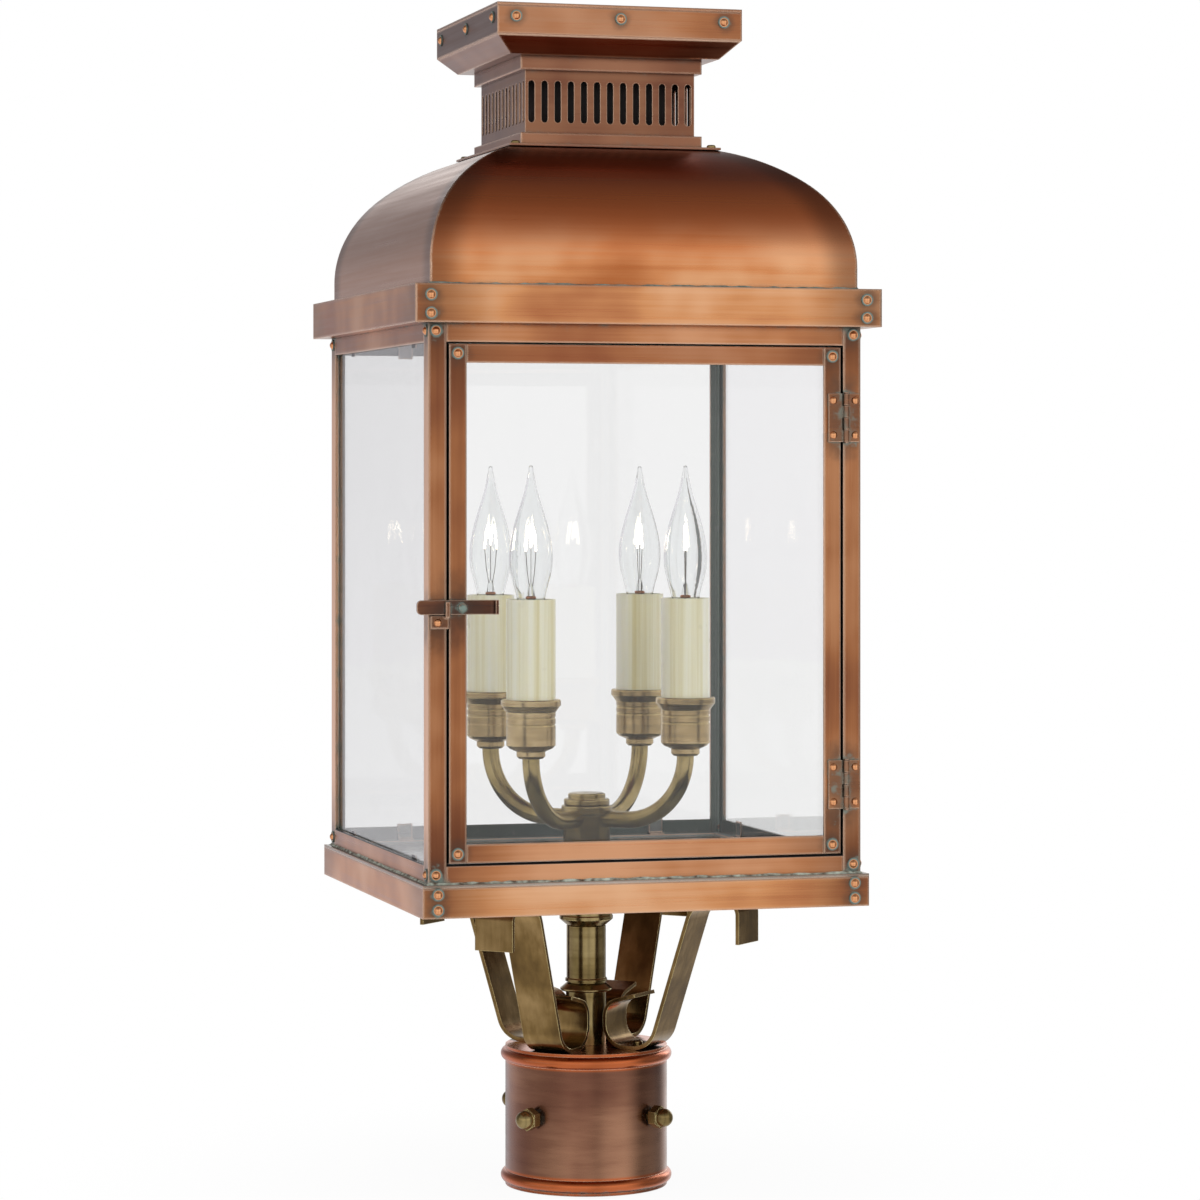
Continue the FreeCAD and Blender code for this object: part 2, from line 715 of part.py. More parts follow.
def cage_rails(z_low, z_high, leg_low):
    """Four rails, front and back whole, the side ones cut back to meet them."""
    front = cage_rail(z_low, z_high, leg_low)
    side = turned(front, 90)
    keep = leg_inner
    side = side.common(block(0, cage_half + 1, -keep, keep, z_low - 1, z_high + 1))
    return [front, turned(front, 180), side, turned(side, 180)]


def top_rails():
    return cage_rails(cornice_bottom - rail_leg, cornice_bottom, cornice_bottom - angle_thick)


def bottom_rails():
    return cage_rails(floor_top, floor_top + rail_leg, floor_top)


def fixed_pane():
    """The pane at the back, standing on the bottom rail; the side ones are turned copies."""
    return block(-pane_half, pane_half, pane_outer - pane_thick, pane_outer,
                 pane_low, pane_high - edge_gap)


def pane_clip(along):
    """A bent spring tab that holds the back pane, standing on the bottom rail."""
    face = pane_outer - pane_thick
    upright = block(along - clip_wide / 2, along + clip_wide / 2, face - clip_sheet, face,
                    pane_low, pane_low + clip_tall)
    foot = block(along - clip_wide / 2, along + clip_wide / 2, leg_inner, face,
                 pane_low, pane_low + clip_sheet)
    return join([upright, foot])


def pane_clips():
    """Two clips below and two above each fixed pane."""
    clips = []
    middle = (pane_low + pane_high) / 2
    for along in (-clip_out, clip_out):
        low = pane_clip(along)
        high = low.mirror(vec(0, 0, middle), Z_AXIS)
        for turn in (0, 90, 270):
            clips.append(turned(low, turn))
            clips.append(turned(high, turn))
    return clips


# ---- hinges -----------------------------------------------------------------------------------
def hinge_places(out):
    """Rivet places on the leaves, at a distance from the pin."""
    reach = hinge_tall / 2 - hinge_rivet_end
    return [vec(hinge_x + out, door_front, middle + side * reach)
            for middle in (hinge_upper, hinge_lower) for side in (-1, 1)]


def hinge_leaf(middle, x_low, x_high, first, rivet_out, bore):
    """A leaf plate with every second knuckle, from first."""
    low = middle - hinge_tall / 2
    step = hinge_tall / knuckles
    face = door_front - hinge_sheet
    leaf = block(x_low, x_high, face, door_front, low, low + hinge_tall)
    for count in range(knuckles):
        z_low = low + count * step
        if count % 2 == first:
            web = block(min(x_low, hinge_x), max(x_high, hinge_x), face, door_front - sheet_gap,
                        z_low + knuckle_gap / 2, z_low + step - knuckle_gap / 2)
            barrel = rod(hinge_barrel, vec(hinge_x, hinge_y, z_low + knuckle_gap / 2), Z_AXIS,
                         step - knuckle_gap)
            leaf = leaf.fuse(web).fuse(barrel)
        else:
            leaf = leaf.cut(rod(hinge_barrel + sheet_gap, vec(hinge_x, hinge_y, z_low - knuckle_gap / 2),
                                Z_AXIS, step + knuckle_gap))
    leaf = leaf.cut(rod(bore, vec(hinge_x, hinge_y, low - 1), Z_AXIS, hinge_tall + 2))
    places = [place + FRONT * hinge_sheet for place in hinge_places(rivet_out)]
    return drilled(leaf.removeSplitter(), places, FRONT, rivet_shank, hinge_sheet + 0.5)


def hinge_post_leaves():
    x_low = hinge_x + hinge_barrel + sheet_gap
    return [hinge_leaf(middle, x_low, hinge_x + hinge_post_leaf, 1, hinge_rivet_out, hinge_pin)
            for middle in (hinge_upper, hinge_lower)]


def hinge_door_leaves():
    x_high = hinge_x - hinge_barrel - sheet_gap
    return [hinge_leaf(middle, hinge_x - hinge_door_leaf, x_high, 0, -hinge_rivet_in,
                       hinge_pin + slip) for middle in (hinge_upper, hinge_lower)]


def hinge_pins():
    """Pins a little longer than the knuckles, with a flat head below and above."""
    pins = []
    for middle in (hinge_upper, hinge_lower):
        low = middle - hinge_tall / 2
        foot = vec(hinge_x, hinge_y, low - 0.6)
        cap = rod(hinge_barrel - 0.25, foot, Z_AXIS, 0.5)
        top = rod(hinge_barrel - 0.25, vec(hinge_x, hinge_y, low + hinge_tall + 0.1), Z_AXIS, 0.5)
        pins.append(join([rod(hinge_pin, foot, Z_AXIS, hinge_tall + 1.2), cap, top]))
    return pins


# ---- door -------------------------------------------------------------------------------------
def door_rivet_places():
    """Rivets at the corners of the door's frame."""
    return [vec(side * (door_half - door_rivet_in), door_front, height) for side in (-1, 1)
            for height in (door_bottom + door_rivet_end, door_top - door_rivet_end)]


def door_stile(side):
    """A folded upright: a flat front and an edge turned in. side is -1 at the left, 1 at the right."""
    outer = side * door_half
    inner = side * (door_half - stile_wide)
    edge = side * (door_half - door_sheet)
    front = block(min(outer, inner), max(outer, inner), door_front, door_front + door_sheet,
                  door_bottom, door_top)
    turned_in = block(min(outer, edge), max(outer, edge), door_front, door_front + door_return,
                      door_bottom, door_top)
    stile = drilled(join([front, turned_in]), door_rivet_places(), FRONT, rivet_shank, door_sheet + 0.5)
    stile = drilled(stile, hinge_places(-hinge_rivet_in), FRONT, rivet_shank, door_sheet + 0.5)
    pivot = vec(latch_x, door_front, latch_height)
    return drilled(stile, [pivot], FRONT, latch_pivot_radius, door_sheet + 0.5)


def door_rail(z_low, edge_low):
    """A folded rail between the stiles, with a tab behind each of them."""
    reach = door_half - stile_wide
    inner = door_half - door_sheet
    front = block(-reach, reach, door_front, door_front + door_sheet, z_low, z_low + rail_leg)
    edge = block(-reach, reach, door_front, door_front + door_return, edge_low, edge_low + door_sheet)
    pieces = [front, edge]
    back = door_front + door_sheet
    for side in (-1, 1):
        far = side * inner
        near = side * (reach - door_tab_long)
        pieces.append(block(min(far, near), max(far, near), back, back + door_tab,
                            z_low, z_low + rail_leg))
    return drilled(join(pieces), door_rivet_places(), FRONT, rivet_shank, door_sheet + door_tab + 0.5)


def door_rails():
    return [door_rail(door_bottom, door_bottom), door_rail(door_top - rail_leg, door_top - door_sheet)]


def door_pane():
    half = door_half - door_sheet - edge_gap
    front = door_front + door_sheet + door_tab
    return block(-half, half, front, front + pane_thick, door_bottom + door_sheet + edge_gap,
                 door_top - door_sheet - edge_gap)


def door_clips():
    """Small tabs on the turned-in edges, behind the door's pane."""
    back = door_front + door_sheet + door_tab + pane_thick
    inner = door_half - door_sheet
    clips = []
    for height in (door_bottom + door_clip_end, door_top - door_clip_end):
        clip = block(inner - door_clip_reach, inner, back, back + clip_sheet, height - clip_wide / 2,
                     height + clip_wide / 2)
        foot = block(inner - clip_sheet, inner, back, door_front + door_return, height - clip_wide / 2,
                     height + clip_wide / 2)
        clips.append(join([clip, foot]))
        clips.append(mirrored(clips[-1]))
    return clips


# ---- latch ------------------------------------------------------------------------------------
def latch_bar():
    """A flat bar with rounded corners at the left; the right end turns out as a finger tab."""
    half = latch_tall / 2
    left = latch_x - latch_left
    right = latch_x + latch_right
    bar = block(left, right, latch_front, latch_back, latch_height - half, latch_height + half)
    ends = [edge for edge in bar.Edges if abs(edge.CenterOfMass.x - left) < 0.01
            and abs(edge.CenterOfMass.z - latch_height) > half - 0.01]
    bar = bar.makeFillet(min(latch_corner, half - 0.1), ends)
    moves = [("bend", latch_curl, -80.0), ("run", finger_run, 0)]
    curl = ribbon((right - 0.01, latch_front + latch_thick / 2), 0, moves, latch_thick, latch_tall)
    curl = curl.rotate(vec(0, 0, 0), X_AXIS, 90)
    curl = curl.mirror(vec(0, 0, 0), Y_AXIS)
    curl_box = curl.BoundBox
    curl = curl.translate(vec(0, latch_back - curl_box.YMax, latch_height - half - curl_box.ZMin))
    bar = join([bar, curl])
    return bar.cut(rod(latch_pivot_radius + slip, vec(latch_x, latch_front - 1, latch_height), Y_AXIS,
                       latch_thick + 2))


def latch_pivot():
    """A headed pin through the bar, a washer behind the bar, and a riveted tail in the stile."""
    start = vec(latch_x, latch_front - slip, latch_height)
    head = rod(rivet_head, start, FRONT, rivet_rise * 0.8)
    length = latch_thick + latch_washer + slip + door_sheet
    pin = rod(latch_pivot_radius, start, Y_AXIS, length)
    washer = rod(rivet_head + 0.5, vec(latch_x, latch_back + slip, latch_height), Y_AXIS,
                 latch_washer - slip)
    return join([head, pin, washer])


def keeper_rivet_place():
    return vec(keeper_x, -cage_half, latch_height - keeper_rivet_down)


def latch_keeper():
    """A plate on the post whose right edge turns out and up as a hook in front of the bar."""
    top = latch_height - latch_tall / 2 - keeper_reach
    low = latch_height - keeper_low
    lip_right = -door_half - sheet_gap
    lip_left = lip_right - keeper_lip
    lip_back = latch_front - keeper_reach
    plate = block(-cage_half + keeper_inset, lip_right, door_front - keeper_sheet, door_front, low, top)
    floor = block(lip_left, lip_right, lip_back - keeper_sheet, door_front, top - keeper_sheet, top)
    lip = block(lip_left, lip_right, lip_back - keeper_sheet, lip_back, top - keeper_sheet,
                latch_height + keeper_hook)
    keeper = join([plate, floor, lip])
    place = keeper_rivet_place() + FRONT * keeper_sheet
    return drilled(keeper, [place], FRONT, rivet_shank, keeper_sheet + 0.5)


# ---- cornice and roof -------------------------------------------------------------------------
def cornice_strip():
    """The front strip: an outer web with a flange turned in at its top and bottom."""
    reach = cornice_half
    web = mitred(reach - band_thick, reach, cornice_bottom, cornice_top)
    low = mitred(leg_inner, reach, cornice_bottom, cornice_bottom + band_thick)
    high = mitred(leg_inner, reach, cornice_top - band_thick, cornice_top)
    return join([web, low, high])


def cornice():
    """Front, back, right and left strips; the side ones have tabs behind the front and back."""
    strip = cornice_strip()
    front = drilled(strip, cornice_rivets(), FRONT, rivet_shank, band_thick + 0.5)
    right = turned(strip, 90)
    tabs = end_tabs(cornice_half, band_thick, cornice_bottom + band_thick, cornice_top - band_thick)
    right = join([right] + tabs)
    back_places = [vec(place.x, -place.y, place.z) for place in cornice_rivets()]
    right = drilled(right, cornice_rivets()[2:], FRONT, rivet_shank, band_thick + tab_thick + 0.5)
    right = drilled(right, back_places[2:], vec(0, 1, 0), rivet_shank, band_thick + tab_thick + 0.5)
    return [front, turned(front, 180), right, mirrored(right)]


def dome_radii():
    """The lower and upper curves' radii, which bring the dome's top edge under the flange plate."""
    low_cos = math.cos(math.radians(dome_low_turn))
    top_cos = math.cos(math.radians(dome_low_turn + dome_high_turn))
    inward = dome_half - (flange_half - dome_lip)
    low = inward / (1 - low_cos + dome_curve_ratio * (low_cos - top_cos))
    return low, low * dome_curve_ratio


def dome_profile(inset):
    """The dome's outline at the middle of a side, as edges from its foot to its top."""
    low_radius, high_radius = dome_radii()
    half = dome_half - inset
    low = low_radius - inset
    high = high_radius - inset
    centre = vec(dome_half - low_radius, 0, dome_foot)

    def on_circle(middle, radius, degrees):
        angle = math.radians(degrees)
        return middle + vec(radius * math.cos(angle), 0, radius * math.sin(angle))

    turn = dome_low_turn
    back = vec(math.cos(math.radians(turn)), 0, math.sin(math.radians(turn)))
    high_centre = centre - back * (high_radius - low_radius)
    end = turn + dome_high_turn
    return [Part.LineSegment(vec(half, 0, cornice_top), vec(half, 0, dome_foot)).toShape(),
            Part.Arc(vec(half, 0, dome_foot), on_circle(centre, low, turn / 2),
                     on_circle(centre, low, turn)).toShape(),
            Part.Arc(on_circle(high_centre, high, turn),
                     on_circle(high_centre, high, (turn + end) / 2),
                     on_circle(high_centre, high, end)).toShape()]


def dome_block(inset):
    """The closed space under the dome, as two crossed extrusions of its outline."""
    edges = dome_profile(inset)
    foot = edges[0].Vertexes[0].Point
    top = edges[-1].Vertexes[-1].Point
    closing = Part.makePolygon([top, vec(0, 0, top.z), vec(0, 0, foot.z), foot]).Edges
    face = Part.Face(Part.Wire(Part.__sortEdges__(edges + closing)))
    wide = 2 * dome_half + 20
    right = face.extrude(vec(0, wide, 0)).translate(vec(0, -wide / 2, 0))
    along_x = right.fuse(mirrored(right)).removeSplitter()
    return along_x.common(turned(along_x, 90))


def dome_top():
    """The height of the dome's outer skin where the flange plate lies on it."""
    return dome_profile(0)[-1].Vertexes[-1].Point.z


def roof_panels():
    """Four curved panels that meet at the hips, open at the top under the vent."""
    shell = dome_block(0).cut(dome_block(dome_thick).fuse(
        block(-vent_half, vent_half, -vent_half, vent_half, cornice_top, dome_top() + 5)))
    shell = shell.cut(block(-dome_half, dome_half, -dome_half, dome_half, dome_top() - 0.001,
                            dome_top() + 5))
    quarter = mitred(0.01, dome_half + 5, cornice_top - 1, dome_top() + 5)
    panel = shell.common(quarter)
    return [turned(panel, turn) for turn in sides.values()]


# ---- vent and cap -----------------------------------------------------------------------------
def vent_heights():
    """Heights: flange bottom, box foot, top of the lower collar, foot of the upper one, its top."""
    foot = dome_top() + flange_thick
    low = foot + lower_collar_tall
    high = low + vent_louvre_tall
    return foot - flange_thick, foot, low, high, high + upper_collar_tall


def flange_screw_places():
    out = (flange_half + collar_half) / 2
    height = vent_heights()[1]
    return [vec(x * out, y * out, height) for x in (-1, 1) for y in (-1, 1)]


def roof_flange():
    low, high = vent_heights()[:2]
    plate = square_ring(flange_half, liner_half - liner_thick, low, high)
    return drilled(plate, flange_screw_places(), Z_AXIS, screw_shank, flange_thick + 0.5)


def flange_screws():
    return [screw(place, Z_AXIS, flange_thick, False) for place in flange_screw_places()]


def slot_cut(x, z_low, z_high):
    """An upright slot with round ends, through the front and back walls."""
    radius = slot_wide / 2
    depth = 2 * vent_half + 10
    start = vec(x, -depth / 2, 0)
    ends = [rod(radius, start + vec(0, 0, height), Y_AXIS, depth)
            for height in (z_low + radius, z_high - radius)]
    return [block(x - radius, x + radius, -depth / 2, depth / 2, z_low + radius, z_high - radius)] + ends


def vent_box():
    """The louvred box, with a row of slots in each wall."""
    foot, low, high, top = vent_heights()[1:]
    box = square_ring(vent_half, vent_half - vent_thick, foot, top)
    z_low = low + slot_lift
    cuts = []
    for count in range(slots):
        x = (count - (slots - 1) / 2) * slot_pitch
        cuts += slot_cut(x, z_low, z_low + slot_tall)
    cutter = Part.Compound(cuts)
    return box.cut(cutter).cut(turned(cutter, 90))


def vent_liner():
    """An upright sleeve inside the slots that keeps the rain out, open at its top."""
    foot, low, high, top = vent_heights()[1:]
    return square_ring(liner_half, liner_half - liner_thick, foot, high)


def vent_collars():
    foot, low, high, top = vent_heights()[1:]
    return [square_ring(collar_half, vent_half, foot, low), square_ring(collar_half, vent_half, high, top)]


def frustum(low_half, high_half, z_low, z_high):
    """A square block that widens from low_half to high_half."""
    wires = []
    for half, height in ((low_half, z_low), (high_half, z_high)):
        corners = [vec(-half, -half, height), vec(half, -half, height),
                   vec(half, half, height), vec(-half, half, height)]
        wires.append(Part.makePolygon(corners + [corners[0]]))
    return Part.makeLoft(wires, True, True)


def cap_levels():
    """Heights of the cap's underside, the foot of its rim and its top."""
    low = vent_heights()[4]
    return low, low + cap_bevel_tall, low + cap_bevel_tall + cap_rim_tall


def cap_pan():
    """A bevelled tray, open over the vent, with an upstand behind the rim."""
    low, rim, top = cap_levels()
    edge = cap_half - cap_sheet
    outer = frustum(cap_low_half, cap_half, low, rim)
    outer = outer.fuse(block(-edge, edge, -edge, edge, rim, rim + cap_upstand))
    inner = frustum(cap_low_half - cap_sheet, edge - cap_sheet, low + cap_sheet, rim)
    inner = inner.fuse(block(cap_sheet - edge, edge - cap_sheet, cap_sheet - edge, edge - cap_sheet,
                             rim, rim + cap_upstand + 1))
    hole = vent_half - vent_thick
    pan = outer.cut(inner).cut(block(-hole, hole, -hole, hole, low - 1, rim))
    return drill_rim(pan.removeSplitter())


def rim_rivet_places():
    height = cap_levels()[1] + rim_rivet_lift
    return [vec(x, -cap_half, height) for x in (-rim_rivet_out, 0, rim_rivet_out)]


def drill_rim(shape):
    """The rivet holes through the rim and the upstand on all four sides."""
    for turn in sides.values():
        shape = turned(shape, 90)
        shape = drilled(shape, rim_rivet_places(), FRONT, rivet_shank, 2 * cap_sheet + 0.5)
    return shape


def cap_rim():
    low, rim, top = cap_levels()
    return drill_rim(square_ring(cap_half, cap_half - cap_sheet, rim, top - cap_sheet))


def cap_lid():
    low, rim, top = cap_levels()
    return block(-cap_half, cap_half, -cap_half, cap_half, top - cap_sheet, top)


# ---- rivets of the fixed copper work ----------------------------------------------------------
def body_rivets():
    rivets = []
    for turn in (0, 180):
        rivets += [turned(rivet(place, FRONT, band_thick + tab_thick), turn)
                   for place in base_rivets() + cornice_rivets()]
    for turn in sides.values():
        rivets += [turned(rivet(place, FRONT, angle_thick), turn) for place in post_rivet_places()]
        rivets += [turned(rivet(place, FRONT, 2 * cap_sheet), turn) for place in rim_rivet_places()]
    for place in hinge_places(hinge_rivet_out):
        rivets.append(rivet(place + FRONT * hinge_sheet, FRONT, hinge_sheet + angle_thick, False))
    rivets.append(rivet(keeper_rivet_place() + FRONT * keeper_sheet, FRONT,
                        keeper_sheet + angle_thick, False))
    return rivets


def door_rivets():
    rivets = [rivet(place, FRONT, door_sheet + door_tab) for place in door_rivet_places()]
    rivets += [rivet(place + FRONT * hinge_sheet, FRONT, hinge_sheet + door_sheet, False)
               for place in hinge_places(-hinge_rivet_in)]
    return rivets


# ---- candle lights ----------------------------------------------------------------------------
def hub():
    """The hub's body, standing on the floor, and its stepped cap."""
    low = floor_top
    lip = low + hub_tall
    room = hub_radius - hub_wall
    lip_foot = lip - hub_lip_tall
    body = lathe([(room, low), (hub_radius, low), (hub_radius, lip_foot - 1),
                  (hub_lip_radius, lip_foot), (hub_lip_radius, lip - turned_edge),
                  (hub_lip_radius - turned_edge, lip), (room, lip)])
    for turn in diagonals.values():
        way = vec(math.cos(math.radians(turn)), math.sin(math.radians(turn)), 0)
        body = body.cut(rod(arm_radius, way * (room - 2) + vec(0, 0, arm_height), way, hub_radius))
    ring_top = lip + hub_ring_tall
    disc_top = ring_top + hub_disc_tall
    cap = lathe([(0, lip), (hub_ring_radius - turned_edge, lip), (hub_ring_radius, lip + turned_edge),
                 (hub_ring_radius, ring_top - turned_edge), (hub_ring_radius - turned_edge, ring_top),
                 (hub_disc_radius, ring_top), (hub_disc_radius, disc_top - turned_edge),
                 (hub_disc_radius - 2 * turned_edge, disc_top), (0, disc_top + hub_crown)])
    return body, cap


def arm_path(inward, upward):
    """An arm's middle line along +X, from inside the hub's wall to under its cup or higher."""
    start = hub_radius - hub_wall - inward
    bend_start = candle_out - arm_bend
    middle = vec(bend_start + arm_bend * math.sin(math.pi / 4), 0,
                 arm_height + arm_bend * (1 - math.cos(math.pi / 4)))
    end = vec(candle_out, 0, arm_height + arm_bend)
    edges = [Part.LineSegment(vec(start, 0, arm_height), vec(bend_start, 0, arm_height)).toShape(),
             Part.Arc(vec(bend_start, 0, arm_height), middle, end).toShape()]
    rise = cup_bottom + upward - end.z
    if rise > 0.01:
        edges.append(Part.LineSegment(end, end + vec(0, 0, rise)).toShape())
    return edges


def bent_bar(radius, inward, upward):
    """A round bar along the arm's middle line."""
    edges = arm_path(inward, upward)
    start = edges[0].Vertexes[0].Point
    section = Part.Wire(Part.makeCircle(radius, start, X_AXIS))
    return Part.Wire(edges).makePipeShell([section], True, False)


def candle_arm():
    return bent_bar(arm_radius, 0, 0).cut(bent_bar(arm_radius - arm_wall, 1.0, 1.0))


def arm_lead():
    """The pair of leads inside an arm, as one bundle from the hub to the lampholder."""
    holder_seat = sleeve_top - holder_drop - base_tall
    return bent_bar(lead_radius, cup_foot_tall, holder_seat - 1 - cup_bottom)


def groove(middle):
    """Outline points of a shallow groove round a cup."""
    floor = cup_radius - groove_deep
    half = groove_wide / 2
    slope = groove_deep / 2
    return [(cup_radius, middle - half - slope), (floor, middle - half), (floor, middle + half),
            (cup_radius, middle + half + slope)]


def candle_cup():
    """A turned cup with two grooves, which stands on its arm's end and takes the sleeve."""
    low = cup_bottom
    top = low + cup_tall
    foot = low + cup_foot_tall
    seat = top - sleeve_seat
    rim_foot = top - cup_rim_tall
    bore = arm_radius - arm_wall
    foot_edge = 2 * turned_edge
    outline = [(bore, low), (cup_foot_radius - foot_edge, low), (cup_foot_radius, low + foot_edge),
               (cup_foot_radius, foot - cup_shoulder), (cup_radius - cup_shoulder, foot),
               (cup_radius, foot + cup_shoulder)]
    outline += groove(top - groove_low) + groove(top - groove_high)
    outline += [(cup_radius, rim_foot - cup_flare), (cup_rim_radius - turned_edge, rim_foot),
                (cup_rim_radius, rim_foot + turned_edge), (cup_rim_radius, top - turned_edge),
                (cup_rim_radius - turned_edge, top), (sleeve_radius, top), (sleeve_radius, seat),
                (holder_radius, seat), (holder_radius, foot + cup_floor), (bore, foot + cup_floor)]
    return lathe(outline, candle_out, 0)


def candle_sleeve():
    low = cup_bottom + cup_tall - sleeve_seat
    return tube(sleeve_radius, sleeve_radius - sleeve_wall, low, sleeve_top).translate(
        vec(candle_out, 0, 0))


def lampholder():
    """A tube closed at its foot, which takes the bulb's base."""
    low = cup_bottom + cup_foot_tall + cup_floor
    top = sleeve_top - holder_drop
    seat = top - base_tall
    room = arm_radius - arm_wall
    shell = base_radius + slip
    return lathe([(room, low), (holder_radius, low), (holder_radius, top), (shell, top),
                  (shell, seat), (lead_radius, seat), (lead_radius, low + holder_foot),
                  (room, low + holder_foot)], candle_out, 0)


def flame(thin, low_cut):
    """The solid inside an envelope's outline, thinned by a wall."""
    tall = bulb_tall - bulb_tip_tall
    top = sleeve_top + tall
    outline = [(bulb_neck, low_cut)]
    outline += [(out * bulb_radius, sleeve_top + up * tall) for up, out in bulb_outline]
    outline.append((bulb_tip_radius, top))
    curve = Part.BSplineCurve()
    curve.interpolate([vec(radius - thin, 0, height) for radius, height in outline])
    closing = [vec(bulb_tip_radius - thin, 0, top), vec(0, 0, top), vec(0, 0, low_cut),
               vec(bulb_neck - thin, 0, low_cut)]
    wire = Part.Wire([curve.toShape()] + Part.makePolygon(closing).Edges)
    return Part.Face(wire).revolve(vec(0, 0, 0), Z_AXIS, 360)


def bulb_glass():
    """A hollow flame-shaped envelope with a drawn tip."""
    neck = sleeve_top - holder_drop + base_flange
    tip = sleeve_top + bulb_tall
    foot = tip - bulb_tip_tall
    shell = flame(0, neck).cut(flame(bulb_wall, neck))
    nose = lathe([(0, foot), (bulb_tip_radius, foot), (0.6 * bulb_tip_radius, tip - 0.4 * bulb_tip_tall),
                  (0.65 * bulb_tip_radius, tip - 0.2 * bulb_tip_tall),
                  (0.4 * bulb_tip_radius, tip - 0.05 * bulb_tip_tall), (0, tip)])
    return moved(shell.fuse(nose), candle_out, 0, 0)


def glass_mount():
    """The glass stem inside the bulb that carries the filament, standing on the base."""
    low = sleeve_top - holder_drop + base_flange
    return lathe([(0, low), (mount_radius, low), (0.9 * mount_radius, low + 0.6 * mount_rise),
                  (mount_pinch, low + 0.86 * mount_rise), (mount_tip, low + mount_rise),
                  (0, low + mount_rise)], candle_out, 0)


def bulb_base():
    """The screw base, with the flange under the glass."""
    neck = sleeve_top - holder_drop
    foot = neck - base_tall
    flange = neck + base_flange
    return lathe([(0, foot), (base_tip_radius, foot), (1.4 * base_tip_radius, foot + base_tip_tall),
                  (base_radius, foot + base_cone), (base_radius, neck), (bulb_neck, neck),
                  (bulb_neck, flange), (0, flange)], candle_out, 0)


# ---- all nodes --------------------------------------------------------------------------------
os.makedirs("parts", exist_ok=True)
save("post_fitter", [post_fitter()])
for number, clamp in enumerate(post_screws(), 1):
    save("post_screw_" + str(number), [clamp])
lower_stem, waist_collar, upper_stem, top_collar = stem_pieces()
save("stem_tubes", [lower_stem, upper_stem])
save("stem_collars", [waist_collar, top_collar])
save("threaded_rod", [threaded_rod()])
save("rod_nuts", rod_nuts())
save("scroll_straps", [turned(scroll_strap(), turn) for turn in diagonals.values()])
save("machine_screws", strap_screws() + flange_screws())
save("base_band", base_band())
save("tray_bottom_plate", [tray_bottom_plate()])
save("floor_plate", [floor_plate()])
for corner, post in corner_posts().items():
    save("corner_post_" + corner, post)
save("cage_top_rails", top_rails())
save("cage_bottom_rails", bottom_rails())
save("glass_back", [fixed_pane()])
save("glass_left", [turned(fixed_pane(), 90)])
save("glass_right", [turned(fixed_pane(), 270)])
save("glass_clips", pane_clips())
save("cornice", cornice())
save("roof_panels", roof_panels())
save("roof_flange", [roof_flange()])
save("vent_box", [vent_box()])
save("vent_liner", [vent_liner()])
save("vent_collars", vent_collars())
save("cap_pan", [cap_pan()])
save("cap_rim", [cap_rim()])
save("cap_lid", [cap_lid()])
save("body_rivets", body_rivets())
save("hinge_post_leaves", hinge_post_leaves())
save("hinge_pins", hinge_pins())
save("latch_keeper", [latch_keeper()])
save("door_stiles", [door_stile(-1), door_stile(1)])
save("door_rails", door_rails())
save("door_glass", [door_pane()])
save("door_clips", door_clips())
save("door_rivets", door_rivets())
save("hinge_door_leaves", hinge_door_leaves())
save("latch_pivot", [latch_pivot()])
save("latch_bar", [latch_bar()])
hub_body, hub_cap = hub()
save("hub_body", [hub_body])
save("hub_cap", [hub_cap])
save("candle_arms", [turned(candle_arm(), turn) for turn in diagonals.values()])
save("arm_leads", [turned(arm_lead(), turn) for turn in diagonals.values()])
save("candle_cups", [turned(candle_cup(), turn) for turn in diagonals.values()])
save("candle_sleeves", [turned(candle_sleeve(), turn) for turn in diagonals.values()])
save("lampholders", [turned(lampholder(), turn) for turn in diagonals.values()])
for corner, turn in diagonals.items():
    save("bulb_glass_" + corner, [turned(bulb_glass(), turn), turned(glass_mount(), turn)])
    save("bulb_base_" + corner, [turned(bulb_base(), turn)])
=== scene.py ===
# %% [markdown]
# # A copper post top lantern
# The lantern's metalwork comes from a imported frame, one mesh for each part, in metres. This file
# gives every part its finish and adds what a maker's eye looks for: solder, filaments in the
# bulbs, soft edges on the sheet. We start by loading the frame.

# %% Load the lantern's frame
import math
import random
import bmesh
import bpy
from mathutils import Matrix, Vector


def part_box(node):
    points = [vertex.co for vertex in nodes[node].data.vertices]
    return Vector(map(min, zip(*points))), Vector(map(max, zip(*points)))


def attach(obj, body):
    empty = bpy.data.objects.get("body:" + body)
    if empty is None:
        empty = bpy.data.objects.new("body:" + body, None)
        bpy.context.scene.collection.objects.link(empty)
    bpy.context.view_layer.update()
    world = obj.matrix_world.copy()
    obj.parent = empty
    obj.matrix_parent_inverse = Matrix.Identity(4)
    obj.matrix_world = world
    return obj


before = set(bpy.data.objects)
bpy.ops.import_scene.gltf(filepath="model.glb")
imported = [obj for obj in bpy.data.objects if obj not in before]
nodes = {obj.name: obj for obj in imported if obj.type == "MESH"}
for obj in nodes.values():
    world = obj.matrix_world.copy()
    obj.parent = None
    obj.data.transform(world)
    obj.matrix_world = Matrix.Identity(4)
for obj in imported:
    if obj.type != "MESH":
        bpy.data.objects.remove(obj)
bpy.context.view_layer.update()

# %% [markdown]
# ## Sizes
# A few places on the lantern are used again and again: the joint lines between sheet parts, and
# the heights where the glass and the candles start. Where a part of the frame knows the size, we
# ask its box. The rest are real sizes in millimetres, turned to metres here.

# %% Places on the lantern
MM = 0.001
corners = {"front_left": (-1, -1), "front_right": (1, -1), "back_right": (1, 1),
           "back_left": (-1, 1)}


def low_of(node):
    """The lowest corner of a part."""
    return Vector(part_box(node)[0])


def high_of(node):
    """The highest corner of a part."""
    return Vector(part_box(node)[1])


